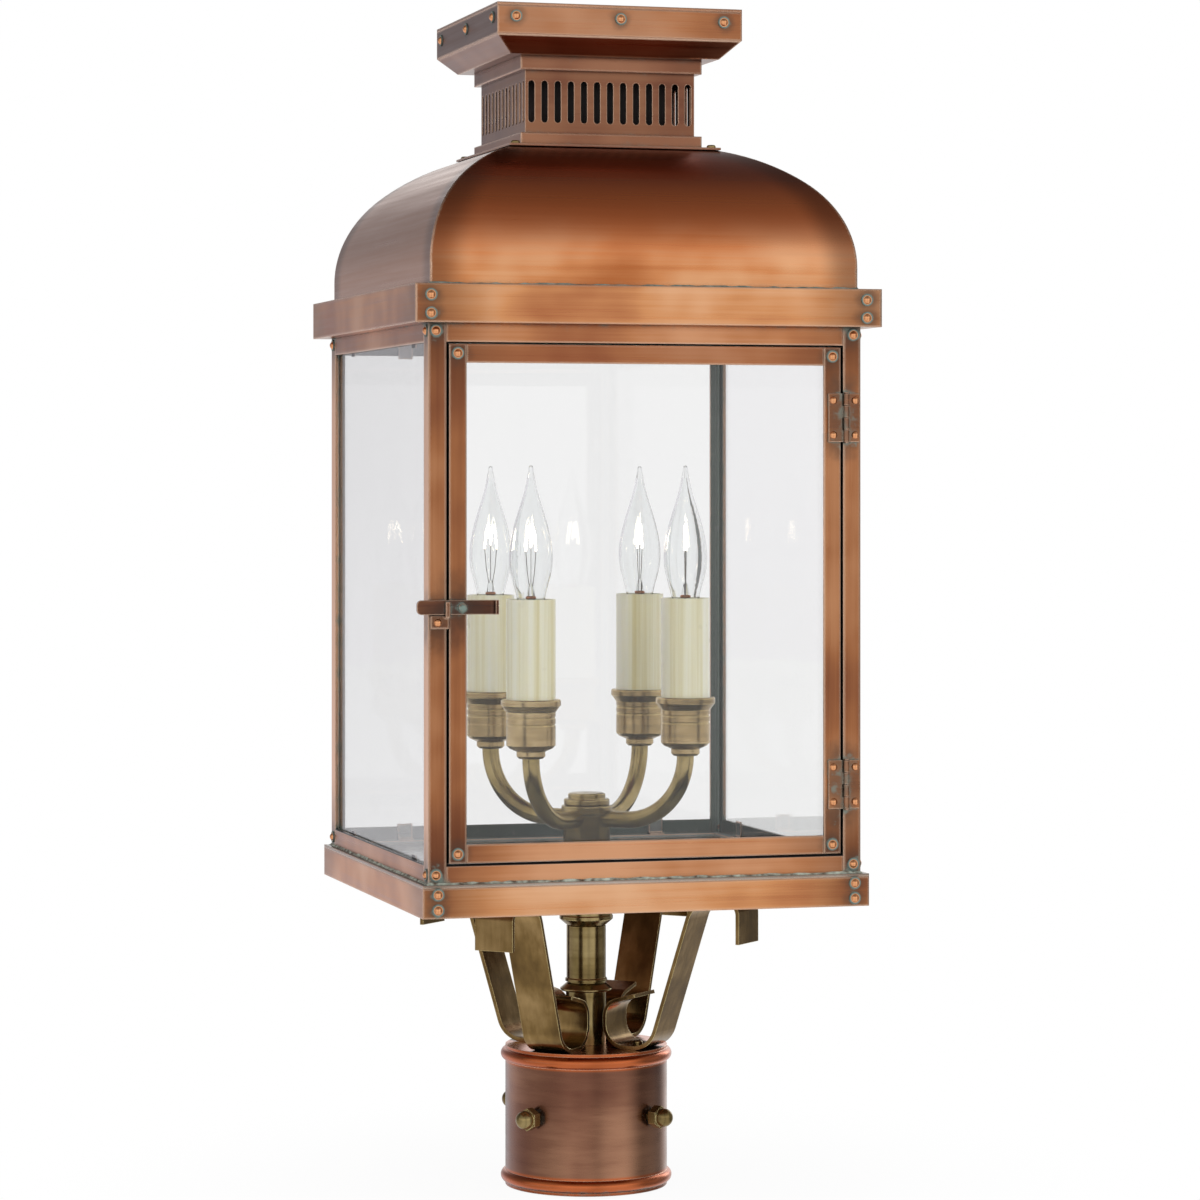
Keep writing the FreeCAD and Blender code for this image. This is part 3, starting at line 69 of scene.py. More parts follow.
cage_half = high_of("corner_post_back_right").x
cage_foot = low_of("corner_post_back_right").z
cornice_head = high_of("cornice").z
dome_half = high_of("roof_panels").x
sleeve_head = high_of("candle_sleeves").z
print("cage half width", round(cage_half, 4), "and its foot at", round(cage_foot, 4))

# %% [markdown]
# ## Camera
# The photograph was taken from a little to the left of the front, level, from two metres away and
# a little above the lantern's middle. A level camera keeps the posts upright; the small lens
# shift moves the picture instead of tilting the camera.

# %% Camera
CAMERA_TURN = math.radians(15.83)
CAMERA_AWAY = 2.0605
CAMERA_HEIGHT = 0.3671
SENSOR_WIDTH = 36.0
FOCAL_PIXELS = 3925.76
PICTURE_PIXELS = 1200
CENTRE_X, CENTRE_Y = 586.13, 482.75


def add_camera():
    """A level camera at the photograph's place, with its lens and shift."""
    data = bpy.data.cameras.new("camera")
    data.sensor_width = SENSOR_WIDTH
    data.lens = FOCAL_PIXELS / PICTURE_PIXELS * SENSOR_WIDTH
    data.shift_x = (PICTURE_PIXELS / 2 - CENTRE_X) / PICTURE_PIXELS
    data.shift_y = (CENTRE_Y - PICTURE_PIXELS / 2) / PICTURE_PIXELS
    data.clip_start = 0.05
    data.clip_end = 50.0
    camera = bpy.data.objects.new("camera", data)
    camera.location = (-math.sin(CAMERA_TURN) * CAMERA_AWAY, -math.cos(CAMERA_TURN) * CAMERA_AWAY,
                       CAMERA_HEIGHT)
    camera.rotation_euler = (math.pi / 2, 0.0, -CAMERA_TURN)
    bpy.context.scene.collection.objects.link(camera)
    bpy.context.scene.camera = camera
    return camera


camera = add_camera()
print("lens", round(camera.data.lens, 1), "mm")

# %% [markdown]
# ## Colours and nodes
# Paint and metal colours are easiest to compare with a photograph as sRGB hex values, but the
# shader works in linear light, so one function turns them. A second small function adds any node
# with its settings and links, so each material below reads from top to bottom as a list of nodes.
# A node given as an input is joined by the first output that its settings leave in use.

# %% Helpers for materials
SMOOTH = {"interpolation_type": "SMOOTHSTEP"}


def linear(hex_colour):
    """An sRGB hex colour as linear RGBA."""
    channels = [int(hex_colour[i:i + 2], 16) / 255 for i in (1, 3, 5)]
    return [c / 12.92 if c <= 0.04045 else ((c + 0.055) / 1.055) ** 2.4 for c in channels] + [1.0]


def fill(tree, node, inputs):
    """Gives sockets of a node a link, a hex colour or a plain value."""
    for key, value in inputs.items():
        if isinstance(value, bpy.types.Node):
            value = next(output for output in value.outputs if output.enabled)
        if isinstance(value, bpy.types.NodeSocket):
            tree.links.new(value, node.inputs[key])
        else:
            node.inputs[key].default_value = linear(value) if isinstance(value, str) else value


def add_node(tree, kind, inputs=None, stops=(), **settings):
    """A node with its settings and inputs, and the stops of a colour ramp."""
    node = tree.nodes.new("ShaderNode" + kind)
    for name, value in settings.items():
        setattr(node, name, value)
    fill(tree, node, inputs or {})
    for number, (position, colour) in enumerate(stops):
        elements = node.color_ramp.elements
        element = elements[number] if number < 2 else elements.new(position)
        element.position = position
        element.color = linear(colour) if isinstance(colour, str) else (colour, colour, colour, 1)
    return node


def new_material(name):
    """An empty node material, with its tree and its Principled shader."""
    material = bpy.data.materials.new(name)
    material.use_nodes = True
    tree = material.node_tree
    return material, tree, tree.nodes["Principled BSDF"]


print("node helpers ready, copper is", [round(c, 3) for c in linear("#C07E50")[:3]], "in linear")

# %% [markdown]
# ## Light and backdrop
# Metal shows what stands around it. A product photographer lights copper with one large soft lamp
# from the front and right and leaves the left side to a weaker, greyer fill. The world is white
# where the camera and the glass look at it. Reflections see the same white, but turned down in
# upright bands, as a room with windows does, and by a dark card that stands behind the lantern
# on the left. Both are painted on the directions of the world, from -1 to 1 along each axis.

# %% World
BANDS_ACROSS = [(0.0, 0.62), (0.10, 0.72), (0.19, 0.98), (0.28, 0.84), (0.37, 0.97), (0.50, 0.58),
                (0.60, 0.90), (0.70, 0.92), (0.83, 0.98), (0.90, 0.62), (0.96, 0.20), (1.0, 0.34)]
LEVELS_UP = [(0.17, 0.72), (0.30, 0.95), (0.42, 1.0), (0.56, 0.55), (0.80, 0.30), (0.98, 0.19)]
REFLECTED, DIFFUSE_LEVEL = 1.35, 0.62


def add_world():
    """White for the camera and through glass, a soft studio gradient for reflections and shade."""
    world = bpy.data.worlds.new("studio")
    bpy.context.scene.world = world
    world.use_nodes = True
    tree = world.node_tree
    way = add_node(tree, "TexCoord").outputs["Generated"]
    x, y, z = add_node(tree, "SeparateXYZ", {"Vector": way}).outputs
    across = add_node(tree, "MapRange", {"Value": x, "From Min": -1.0, "From Max": 1.0})
    side = add_node(tree, "ValToRGB", {"Fac": across}, stops=BANDS_ACROSS)
    height = add_node(tree, "MapRange", {"Value": z, "From Min": -0.2, "From Max": 1.0})
    lift = add_node(tree, "ValToRGB", {"Fac": height}, stops=LEVELS_UP)

    behind = add_node(tree, "MapRange", {"Value": y, "From Max": 0.4}, **SMOOTH)
    card_edge = add_node(tree, "MapRange", {"Value": x, "From Min": 0.02, "From Max": -0.16,
                                            "To Max": 0.76}, **SMOOTH)
    card_foot = add_node(tree, "MapRange", {"Value": z, "From Min": -0.20, "From Max": 0.24},
                         **SMOOTH)
    card = add_node(tree, "Math", {0: card_edge, 1: card_foot}, operation="MULTIPLY")
    dark_top = add_node(tree, "MapRange", {"Value": z, "From Min": 0.28, "From Max": 0.5,
                                           "To Max": 0.5}, **SMOOTH)
    taken = add_node(tree, "Math", {0: card, 1: dark_top}, operation="MAXIMUM")
    taken = add_node(tree, "Math", {0: taken, 1: behind}, operation="MULTIPLY")
    kept = add_node(tree, "Math", {0: 1.0, 1: taken}, operation="SUBTRACT")
    lifted = add_node(tree, "Math", {0: lift, 1: REFLECTED}, operation="MULTIPLY")
    shade = add_node(tree, "Math", {0: side, 1: lifted}, operation="MULTIPLY")
    shade = add_node(tree, "Math", {0: shade, 1: kept}, operation="MULTIPLY")

    ray = add_node(tree, "LightPath").outputs
    open_ray = add_node(tree, "Math", {0: ray["Is Camera Ray"], 1: ray["Is Transmission Ray"]},
                        operation="MAXIMUM")
    level = add_node(tree, "Mix", {"Factor": ray["Is Glossy Ray"], 2: DIFFUSE_LEVEL, 3: shade},
                     data_type="FLOAT")
    strength = add_node(tree, "Mix", {"Factor": open_ray, 2: level, 3: 1.0}, data_type="FLOAT")
    left = add_node(tree, "MapRange", {"Value": x, "From Min": 0.1, "From Max": -0.1}, **SMOOTH)
    cool = add_node(tree, "Math", {0: left, 1: behind}, operation="MULTIPLY")
    cool = add_node(tree, "Math", {0: cool, 1: ray["Is Glossy Ray"]}, operation="MULTIPLY")
    tint = add_node(tree, "Mix", {"Factor": cool, 6: "#FFFFFF", 7: "#F6F3F8"}, data_type="RGBA")
    fill(tree, tree.nodes["Background"], {"Color": tint, "Strength": strength})


add_world()
print("world with", len(BANDS_ACROSS), "bands across and", len(LEVELS_UP), "levels up")

# %% Lamps
LAMPS = [("front_soft_box", (0.9, -2.4, 0.75), (0, 0, 0.35), (1.5, 1.7), 20.0, False),
         ("left_fill", (-2.3, -0.6, 0.8), (0, 0, 0.3), (0.9, 1.6), 4.0, False),
         ("back_right_strip", (2.0, 1.6, 1.1), (0, 0, 0.4), (0.6, 1.6), 5.0, True)]


def add_lamp(name, place, aim, size, power, mirrored):
    """A soft box that looks at a point. One that would glare in the door's glass isn't mirrored."""
    data = bpy.data.lights.new(name, "AREA")
    data.shape = "RECTANGLE"
    data.size, data.size_y = size
    data.energy = power
    lamp = bpy.data.objects.new(name, data)
    lamp.location = place
    way = Vector(aim) - Vector(place)
    lamp.rotation_euler = way.to_track_quat("-Z", "Y").to_euler()
    lamp.visible_camera = False
    lamp.visible_transmission = False
    lamp.visible_glossy = mirrored
    bpy.context.scene.collection.objects.link(lamp)


for lamp in LAMPS:
    add_lamp(*lamp)
print(len(LAMPS), "lamps")

# %% [markdown]
# ## Floor
# The lantern stands on its fitter, as on a bench before it goes on its post. The floor is a pale
# round sheet that takes a soft shadow close to the fitter and turns to plain white further out,
# so that no horizon shows behind the glass. Metal doesn't mirror it, because the world already
# has its light from below.

# %% Floor
SHADOW_START, SHADOW_END, SHADOW_LEAST = 0.045, 0.34, 0.95


def add_floor():
    """A disc that fades from a matt floor that takes shadow to plain white."""
    shape = bmesh.new()
    bmesh.ops.create_circle(shape, cap_ends=True, segments=96, radius=6.0)
    mesh = bpy.data.meshes.new("floor")
    shape.to_mesh(mesh)
    shape.free()
    floor = bpy.data.objects.new("floor", mesh)
    floor.location.z = -0.0005
    bpy.context.scene.collection.objects.link(floor)
    material, tree, shader = new_material("pale_matt_floor")
    fill(tree, shader, {"Base Color": "#F4F4F4", "Roughness": 0.9, "Specular IOR Level": 0.1})
    place = add_node(tree, "TexCoord").outputs["Object"]
    far = add_node(tree, "VectorMath", {0: place}, operation="LENGTH")
    fade = add_node(tree, "MapRange", {"Value": far, "From Min": SHADOW_START,
                                       "From Max": SHADOW_END, "To Min": SHADOW_LEAST,
                                       "To Max": 1.0}, interpolation_type="SMOOTHERSTEP")
    ray = add_node(tree, "LightPath").outputs
    seen = add_node(tree, "Math", {0: ray["Is Camera Ray"], 1: ray["Is Transmission Ray"]},
                    operation="MAXIMUM")
    share = add_node(tree, "Math", {0: fade, 1: seen}, operation="MULTIPLY")
    white = add_node(tree, "Emission", {"Color": "#FFFFFF", "Strength": 1.0})
    blend = add_node(tree, "MixShader", {"Fac": share, 1: shader, 2: white})
    fill(tree, tree.nodes["Material Output"], {"Surface": blend})
    mesh.materials.append(material)
    floor.visible_glossy = False


add_floor()
print("floor ready")

# %% [markdown]
# ## Where the copper has aged
# Copper sheet work is riveted and soft-soldered, then dipped and brushed back. The dip bites most
# where flux was left: round each rivet, at the hinges and along the solder. There the metal is
# nearly black and has a bloom of blue-green. We find those places by distance. The lantern is
# symmetric, so folding the coordinates with their absolute value lets one point stand for four.

# %% Distance to the joints
RIVET_POINTS = [(112.7, 120.6, 459.0), (112.7, 120.6, 450.0), (108.0, 115.6, 165.4),
                (108.0, 115.6, 157.8), (108.3, 112.2, 441.7), (108.3, 112.2, 174.7),
                (112.2, 108.3, 441.7), (112.2, 108.3, 174.7)]
DOOR_POINTS = [(-97.2, -112.2, 430.7), (-97.2, -112.2, 184.8), (97.2, -112.2, 430.7),
               (97.2, -112.2, 184.8)]
HINGE_POINTS = [(97.6, -113.1, 408.65), (97.6, -113.1, 391.15), (97.6, -113.1, 223.75),
                (97.6, -113.1, 206.25)]
LEAF_POINTS = [(109.1, 113.1, 408.65), (109.1, 113.1, 391.15), (109.1, 113.1, 223.75),
               (109.1, 113.1, 206.25), (107.5, 113.3, 298.5)]
LATCH_POINTS = [(-107.5, -112.5, 299.0), (-95.7, -112.5, 306.0)]
LATCH_PIVOT = (-95.7, -116.0, 306.0)
HINGE_MIDDLES = [(102.0, -114.0, 399.9), (102.0, -114.0, 215.0)]
HINGE_ENDS = [(102.0, -112.5, 413.0), (102.0, -112.5, 386.5), (102.0, -112.5, 228.0),
              (102.0, -112.5, 201.5)]
CAP_POINTS = [(55.0, 64.8, 603.1), (0.0, 64.8, 603.1), (64.8, 55.0, 603.1), (64.8, 0.0, 603.1)]
NOWHERE = [(0, 0, 0)]


def nearness(tree, points, reach, folded=True):
    """1 at the given points (in millimetres), fading to 0 at reach metres from them."""
    place = add_node(tree, "TexCoord").outputs["Object"]
    if folded:
        place = add_node(tree, "VectorMath", {0: place}, operation="ABSOLUTE")
    nearest = None
    for point in points:
        target = tuple(value * MM for value in point)
        gap = add_node(tree, "VectorMath", {0: place, 1: target}, operation="DISTANCE")
        nearest = gap if nearest is None else add_node(tree, "Math", {0: nearest, 1: gap},
                                                       operation="MINIMUM")
    return add_node(tree, "MapRange", {"Value": nearest, "From Max": reach, "To Min": 1.0,
                                       "To Max": 0.0})


print("joints known:", sum(map(len, (RIVET_POINTS, DOOR_POINTS, HINGE_POINTS, LEAF_POINTS,
                                     CAP_POINTS))))

# %% [markdown]
# ## What the brush and the dip leave
# Three patterns make all the metal here. Brush lines run one way along each strip. Soft patches
# of tone drift over a hand's width, and smaller blots break up each stain. Real brush lines are
# about a tenth of a millimetre apart, which no picture of a whole lantern can show, so they are
# drawn nearly four millimetres apart and two hundred long. Each number is a count for a metre.

# %% Brush lines and soft patches
LINES, LINE_RUN = 260.0, 5.0
ALONG_Z, ROUND_Z = (LINES, LINES, LINE_RUN), (LINE_RUN, LINE_RUN, LINES)
HAND_WIDTHS, BLOTS = 11.0, 160.0


def brush_lines(tree, grain):
    """Fine parallel scratches. grain is how many there are for a metre of each axis."""
    place = add_node(tree, "TexCoord").outputs["Object"]
    lined = add_node(tree, "Mapping", {"Vector": place, "Scale": grain})
    return add_node(tree, "TexNoise", {"Vector": lined, "Scale": 1.0, "Detail": 5.0,
                                       "Roughness": 0.62})


def cloud(tree, per_metre, detail=3.0):
    """A soft drift with so many changes in a metre."""
    place = add_node(tree, "TexCoord").outputs["Object"]
    return add_node(tree, "TexNoise", {"Vector": place, "Scale": per_metre, "Detail": detail,
                                       "Roughness": 0.55})


print("brush lines", round(1000 / LINES, 1), "mm apart, blots of", 1000 / BLOTS, "mm")

# %% [markdown]
# ## Edges and hollows
# An outer edge catches the light, so a painted highlight runs along it. An inner corner keeps the
# dip's black and, where it is damp, the green, and painted shade lies there too. The bevel node
# tells how far a rounded edge would turn from the flat sheet, and ambient occlusion tells how
# hidden a place is.

# %% Painted edge highlights and hidden corners
def painted_edge_highlight(tree, radius):
    """1 on outer edges, where a highlight is painted, 0 on flat sheet. Also the rounded edge
    itself.
    """
    rounded = add_node(tree, "Bevel", {"Radius": radius}, samples=4)
    flat = add_node(tree, "NewGeometry").outputs["Normal"]
    turn = add_node(tree, "VectorMath", {0: rounded, 1: flat}, operation="DOT_PRODUCT")
    edge = add_node(tree, "MapRange", {"Value": turn, "From Min": 0.999, "From Max": 0.93})
    return edge, rounded


def tucked_away(tree, reach):
    """1 in gaps and inner corners that no brush gets into, 0 on open sheet."""
    seen = add_node(tree, "AmbientOcclusion", {"Distance": reach}, samples=6).outputs["AO"]
    return add_node(tree, "MapRange", {"Value": seen, "From Min": 0.25, "From Max": 0.85,
                                       "To Min": 1.0, "To Max": 0.0})


print("edges and corners ready")

# %% Faces, heights and seams
def from_axis(tree):
    """How far a place is from the lantern's middle along x, y and z, the same on all four sides."""
    place = add_node(tree, "TexCoord").outputs["Object"]
    folded = add_node(tree, "VectorMath", {0: place}, operation="ABSOLUTE")
    return add_node(tree, "SeparateXYZ", {0: folded}).outputs


def within(tree, half):
    """1 inside a square round the axis, with this half width in metres."""
    x, y = from_axis(tree)[:2]
    far = add_node(tree, "Math", {0: x, 1: y}, operation="MAXIMUM")
    return add_node(tree, "MapRange", {"Value": far, "From Min": half + 0.4 * MM,
                                       "From Max": half}, **SMOOTH)


def near_hips(tree, reach):
    """1 along the dome's four bent seams, fading to 0 at reach metres to each side."""
    x, y = from_axis(tree)[:2]
    off = add_node(tree, "Math", {0: x, 1: y}, operation="SUBTRACT")
    off = add_node(tree, "Math", {0: off}, operation="ABSOLUTE")
    return add_node(tree, "MapRange", {"Value": off, "From Min": reach, "From Max": 0.0}, **SMOOTH)


def sideways(tree):
    """1 on faces that look left or right, 0 on those that look to the front, back, up or down."""
    normal = add_node(tree, "NewGeometry").outputs["Normal"]
    facing = add_node(tree, "VectorMath", {0: normal}, operation="ABSOLUTE")
    x = add_node(tree, "SeparateXYZ", {0: facing}).outputs["X"]
    return add_node(tree, "MapRange", {"Value": x, "From Min": 0.1, "From Max": 0.4}, **SMOOTH)


def painted_shadow_line(tree, height, level):
    """1 along the level line between two parts at this height in metres, where a shadow line is
    painted.
    """
    off = add_node(tree, "Math", {0: height, 1: level}, operation="SUBTRACT")
    off = add_node(tree, "Math", {0: off}, operation="ABSOLUTE")
    return add_node(tree, "MapRange", {"Value": off, "From Min": 0.5 * MM, "From Max": 0.3 * MM},
                    **SMOOTH)


print("places on the sheet ready")

# %% [markdown]
# ## Antique copper
# Cold-rolled copper sheet, brushed one way, toned brown and brushed back again, under a thin clear
# lacquer. Three things make it look like that and not like a new pipe: the brush lines, which
# stretch each highlight across the strip; the tone, which drifts from bright to brown; and the
# dark stains and blue-green bloom at the joints, inside a broader darkening that is part stain and
# part painted shade. We lay the stains one over another, from the broadest to the smallest, and
# over them painted light: bands of painted shade and highlight by height, a painted colour on side
# faces, a painted highlight along outer edges, and the dip's black with painted shade in the gaps.
# Where the metal is covered it is also duller and less of a metal.

# %% Copper sheet
STAIN_AND_SHADE_REACH, HINGE_REACH, LATCH_REACH, HIP_REACH = 0.055, 0.017, 0.034, 0.034
# The first of these colours darkens broadly round the joints, part stain and part painted shade;
# the fifth is a painted highlight on outer edges, and the last the dip's black in gaps with painted
# shade.
JOINT_STAIN_AND_SHADE, HANDLED, FLUX, UNBRUSHED, EDGE_HIGHLIGHT, VERDIGRIS, GAP_BLACK_AND_SHADE = (
    "#54280F", "#3A2A22", "#4A3A30", "#A4AAAA", "#F6CFB2", "#7F9389", "#150C08")


def antique_copper(name, grain, tones, joints, reach, bloom=1.0, folded=True, painted_light_bands=(),
                   highlight_reach=0.0016, inside=None, gloss=0.24, bite=0.28, painted_side_light=None, shadow_line_height=None,
                   stain_and_shade=0.5, hipped=False, hinged=False):
    """Brushed and toned copper sheet, stained within reach of its joints.

    Each of the painted_light_bands is two heights, a share and a colour of painted light by height;
    painted_side_light is a colour painted on the side faces, lighter as a painted reflection and
    darker as painted shade. inside is the half width of the unbrushed inner faces, and
    shadow_line_height the height of a painted shadow line between two parts. highlight_reach is
    how far a painted highlight on outer edges reaches, bite how strongly a joint turns green,
    bloom how green it is, stain_and_shade how dark the broad darkening round the joints is, part
    stain and part painted shade. hipped sheet has that darkening along the dome's seams, and
    hinged sheet is stained above and below the hinges too.
    """
    material, tree, shader = new_material(name)
    lines, drift = brush_lines(tree, grain), cloud(tree, HAND_WIDTHS)
    blot, corner = cloud(tree, BLOTS, 4.0), tucked_away(tree, 0.006)
    axes = add_node(tree, "SeparateXYZ", {0: add_node(tree, "TexCoord").outputs["Object"]}).outputs
    tone = add_node(tree, "Math", {0: lines, 1: 0.3, 2: drift}, operation="MULTIPLY_ADD")
    tone = add_node(tree, "MapRange", {"Value": tone, "From Min": 0.43, "From Max": 0.87}, **SMOOTH)
    metal = add_node(tree, "ValToRGB", {"Fac": tone},
                     stops=[(0.0, tones[0]), (0.45, tones[1]), (1.0, tones[2])])
    layers = []
    # Bands of painted light by height: painted shade where the colour is darker, a painted
    # highlight where it is brighter.
    for start, end, share, colour in painted_light_bands:
        band = add_node(tree, "MapRange", {"Value": axes["Z"], "From Min": start, "From Max": end,
                                           "To Max": share}, **SMOOTH)
        layers.append((band, colour))
    # Side faces get a painted colour: a painted reflection where it is lighter than the sheet,
    # painted shade where it is darker.
    if painted_side_light:
        layers.append((sideways(tree), painted_side_light))

    wide = nearness(tree, joints, STAIN_AND_SHADE_REACH, folded)
    near = add_node(tree, "MapRange", {"Value": wide, "From Min": 1 - reach / STAIN_AND_SHADE_REACH,
                                       "From Max": 1.0})
    if hinged:
        ends = nearness(tree, HINGE_ENDS, HINGE_REACH, False)
        near = add_node(tree, "Math", {0: near, 1: ends}, operation="MAXIMUM")
    if hipped:
        wide = near_hips(tree, HIP_REACH)
    latch = nearness(tree, LATCH_POINTS, LATCH_REACH, False)
    # First a broad darkening round the joints, part stain and part painted shade, then the latch's
    # handling and the flux.
    for where, pattern, share, start, full, most, colour in (
            (wide, drift, 0.5, 0.55, 1.3, stain_and_shade, JOINT_STAIN_AND_SHADE),
            (latch, blot, 0.4, 0.50, 1.15, 0.75, HANDLED),
            (near, blot, 0.6, 0.55, 1.15, 0.6, FLUX)):
        ragged = add_node(tree, "Math", {0: pattern, 1: share, 2: where}, operation="MULTIPLY_ADD")
        stain = add_node(tree, "MapRange", {"Value": ragged, "From Min": start, "From Max": full,
                                            "To Max": most}, **SMOOTH)
        layers.append((stain, colour))

    crust = add_node(tree, "Math", {0: corner, 1: 0.55, 2: blot}, operation="MULTIPLY_ADD")
    crust = add_node(tree, "Math", {0: near, 1: bite, 2: crust}, operation="MULTIPLY_ADD")
    green = add_node(tree, "MapRange", {"Value": crust, "From Min": 0.80, "From Max": 0.98,
                                        "To Max": 0.8 * bloom}, **SMOOTH)
    # The dip's black in gaps and inner corners, together with painted shade there, and a painted
    # shadow line at one given height.
    gap = add_node(tree, "MapRange", {"Value": corner, "From Min": 0.52, "From Max": 0.85},
                   **SMOOTH)
    if shadow_line_height:
        gap = add_node(tree, "Math", {0: gap, 1: painted_shadow_line(tree, axes["Z"], shadow_line_height)}, operation="MAXIMUM")
    if inside:
        hidden = within(tree, inside)
        back = add_node(tree, "MapRange", {"Value": axes["Y"], "From Max": 0.05}, **SMOOTH)
        back = add_node(tree, "Math", {0: hidden, 1: back}, operation="MULTIPLY")
        gap = add_node(tree, "Math", {0: gap, 1: back}, operation="SUBTRACT", use_clamp=True)
        layers.append((hidden, UNBRUSHED))
    # A painted highlight along outer edges, where they catch the light.
    edge, rounded = painted_edge_highlight(tree, highlight_reach)
    layers += [(edge, EDGE_HIGHLIGHT), (green, VERDIGRIS), (gap, GAP_BLACK_AND_SHADE)]
    for share, colour in layers:
        metal = add_node(tree, "Mix", {"Factor": share, 6: metal, 7: colour}, data_type="RGBA")

    dull = add_node(tree, "Math", {0: gap, 1: 0.3, 2: green}, operation="MULTIPLY_ADD")
    if inside:
        dull = add_node(tree, "Math", {0: dull, 1: hidden}, operation="MAXIMUM")
    bare = add_node(tree, "MapRange", {"Value": dull, "To Min": 1.0, "To Max": 0.35})
    satin = add_node(tree, "Math", {0: dull, 1: 0.8, 2: lines}, operation="MULTIPLY_ADD")
    satin = add_node(tree, "MapRange", {"Value": satin, "From Min": 0.3, "From Max": 1.3,
                                        "To Min": gloss, "To Max": gloss + 0.38})
    pressed = add_node(tree, "Bump", {"Height": drift, "Distance": 1.1 * MM, "Strength": 0.35,
                                      "Normal": rounded})
    brushed = add_node(tree, "Bump", {"Height": lines, "Distance": 0.02 * MM, "Strength": 0.4,
                                      "Normal": pressed})
    fill(tree, shader, {"Base Color": metal, "Metallic": bare, "Roughness": satin,
                        "Normal": brushed, "Coat Weight": 0.4, "Coat Roughness": 0.25})
    return material


print("antique copper ready, stained", STAIN_AND_SHADE_REACH / MM, "mm round each joint")

# %% [markdown]
# ## One copper, many tones
# The same sheet doesn't look the same all over a lantern. These tones are partly the sheet's own
# tone and partly painted light, brighter where the lantern catches more light and darker where it
# lies in shade: the bands at the dome's foot and the base are brightest, the posts and stiles
# browner, and the vent box nearly the dip's own brown, with a painted highlight on the rims of its
# slots. The vent's collars and the cap's pan are darker still, as painted shade. Each tone is three
# colours: dark, middle and light.

# %% Tones
BRIGHT = ("#AC643A", "#D8945F", "#EFB88C")
WARM = ("#9C5A36", "#C07E50", "#DCA076")
PLAIN = ("#7E4629", "#A2663D", "#BE845A")
CAP = ("#8E522F", "#AE7046", "#C48E6A")
# The collar tone is a darker copy of the cap's copper, as painted shade under the cap.
COLLAR_SHADE = ("#663D26", "#84533A", "#A27052")
FITTER = ("#6C402E", "#885B44", "#AF7F62")
DARK = ("#5A311F", "#784932", "#956648")
ROOF = ("#B2642F", "#D68C56", "#EEB686")
SLATE = ("#575B5B", "#7C7F7D", "#A6A5A1")
DEEP = ("#5E331F", "#7E4C33", "#9E6546")
LATCH = ("#4A2616", "#74432A", "#A46A44")
# The first colour here is a painted highlight on the fitter's beads, the next two are painted shade
# deepening up the dome, and the last is the cornice's shade painted on the door's top rail.
BEAD_HIGHLIGHT, DOME_MID_SHADE, DOME_TOP_SHADE, HEAD_SHADE = "#C4622C", "#BE6230", "#8E3C18", "#6E2A0E"
CAGE_INSIDE = cage_half - 1.8 * MM
RAIL_LEG = 9.2 * MM
print("eleven tones of copper")

# %% Copper of the cage
# Level strips, brushed along their length: the base band and the cornice, then the cage's rails.
copper_level = antique_copper("antique_copper_bands", ROUND_Z, BRIGHT, RIVET_POINTS, 0.011,
                              stain_and_shade=0.62)
# The rails carry a painted shadow line along the top of the bottom rail, under the door.
copper_rail = antique_copper("antique_copper_rails", ROUND_Z, WARM, RIVET_POINTS, 0.011,
                             inside=CAGE_INSIDE, shadow_line_height=cage_foot + RAIL_LEG)
# Folded posts, brushed upright, with a wide painted highlight on their corners and a pale painted
# reflection on their side faces.
copper_upright = antique_copper("antique_copper_posts", ALONG_Z, PLAIN, RIVET_POINTS, 0.013,
                                highlight_reach=0.0022, inside=CAGE_INSIDE, bite=0.36, painted_side_light="#FFC69A",
                                stain_and_shade=0.75, hinged=True)
# The floor plate and the clips were dipped and never brushed, so they are a slate grey.
copper_floor = antique_copper("antique_copper_floor", ROUND_Z, SLATE, RIVET_POINTS, 0.012, 1.2,
                              stain_and_shade=0.0)
# The door's upright stiles and level rails. Its top rail lies in the cornice's shade.
copper_stile = antique_copper("antique_copper_stiles", ALONG_Z, PLAIN, DOOR_POINTS, 0.012, 1.0,
                              False, stain_and_shade=0.75, hinged=True)
copper_door = antique_copper("antique_copper_door", ROUND_Z, WARM, DOOR_POINTS, 0.012, 1.0, False,
                             painted_light_bands=[(0.415, 0.428, 0.35, HEAD_SHADE)])
# Folded hinge leaves, crusted green, and the latch bar, browned by fingers.
copper_hinge = antique_copper("antique_copper_hinges", ROUND_Z, PLAIN, HINGE_MIDDLES, 0.026, 0.7,
                              False, highlight_reach=0.0009, stain_and_shade=0.0, hinged=True, bite=0.36)
copper_latch = antique_copper("antique_copper_latch", ROUND_Z, LATCH, [LATCH_PIVOT], 0.009, 1.2,
                              False, highlight_reach=0.0007, bite=0.42, stain_and_shade=0.0)
print("eight finishes for cage and door")

# %% Copper of the roof and the fitter
# The dome's colour holds painted light: bright at its shoulder, with painted shade deepening
# towards the vent, and a grey painted reflection on its side faces.
copper_roof = antique_copper("antique_copper_roof", ROUND_Z, ROOF, CAP_POINTS, 0.010, 0.4,
                             painted_light_bands=[(0.468, 0.505, 0.96, DOME_MID_SHADE), (0.506, 0.528, 0.9, DOME_TOP_SHADE)],
                             painted_side_light="#C29073", stain_and_shade=0.62, hipped=True)
# The cap's rim and lid are bright in front, with painted shade on their side faces.
copper_rim = antique_copper("antique_copper_cap_rim", ROUND_Z, CAP, CAP_POINTS, 0.010, 0.5,
                            painted_side_light="#765141", stain_and_shade=0.15)
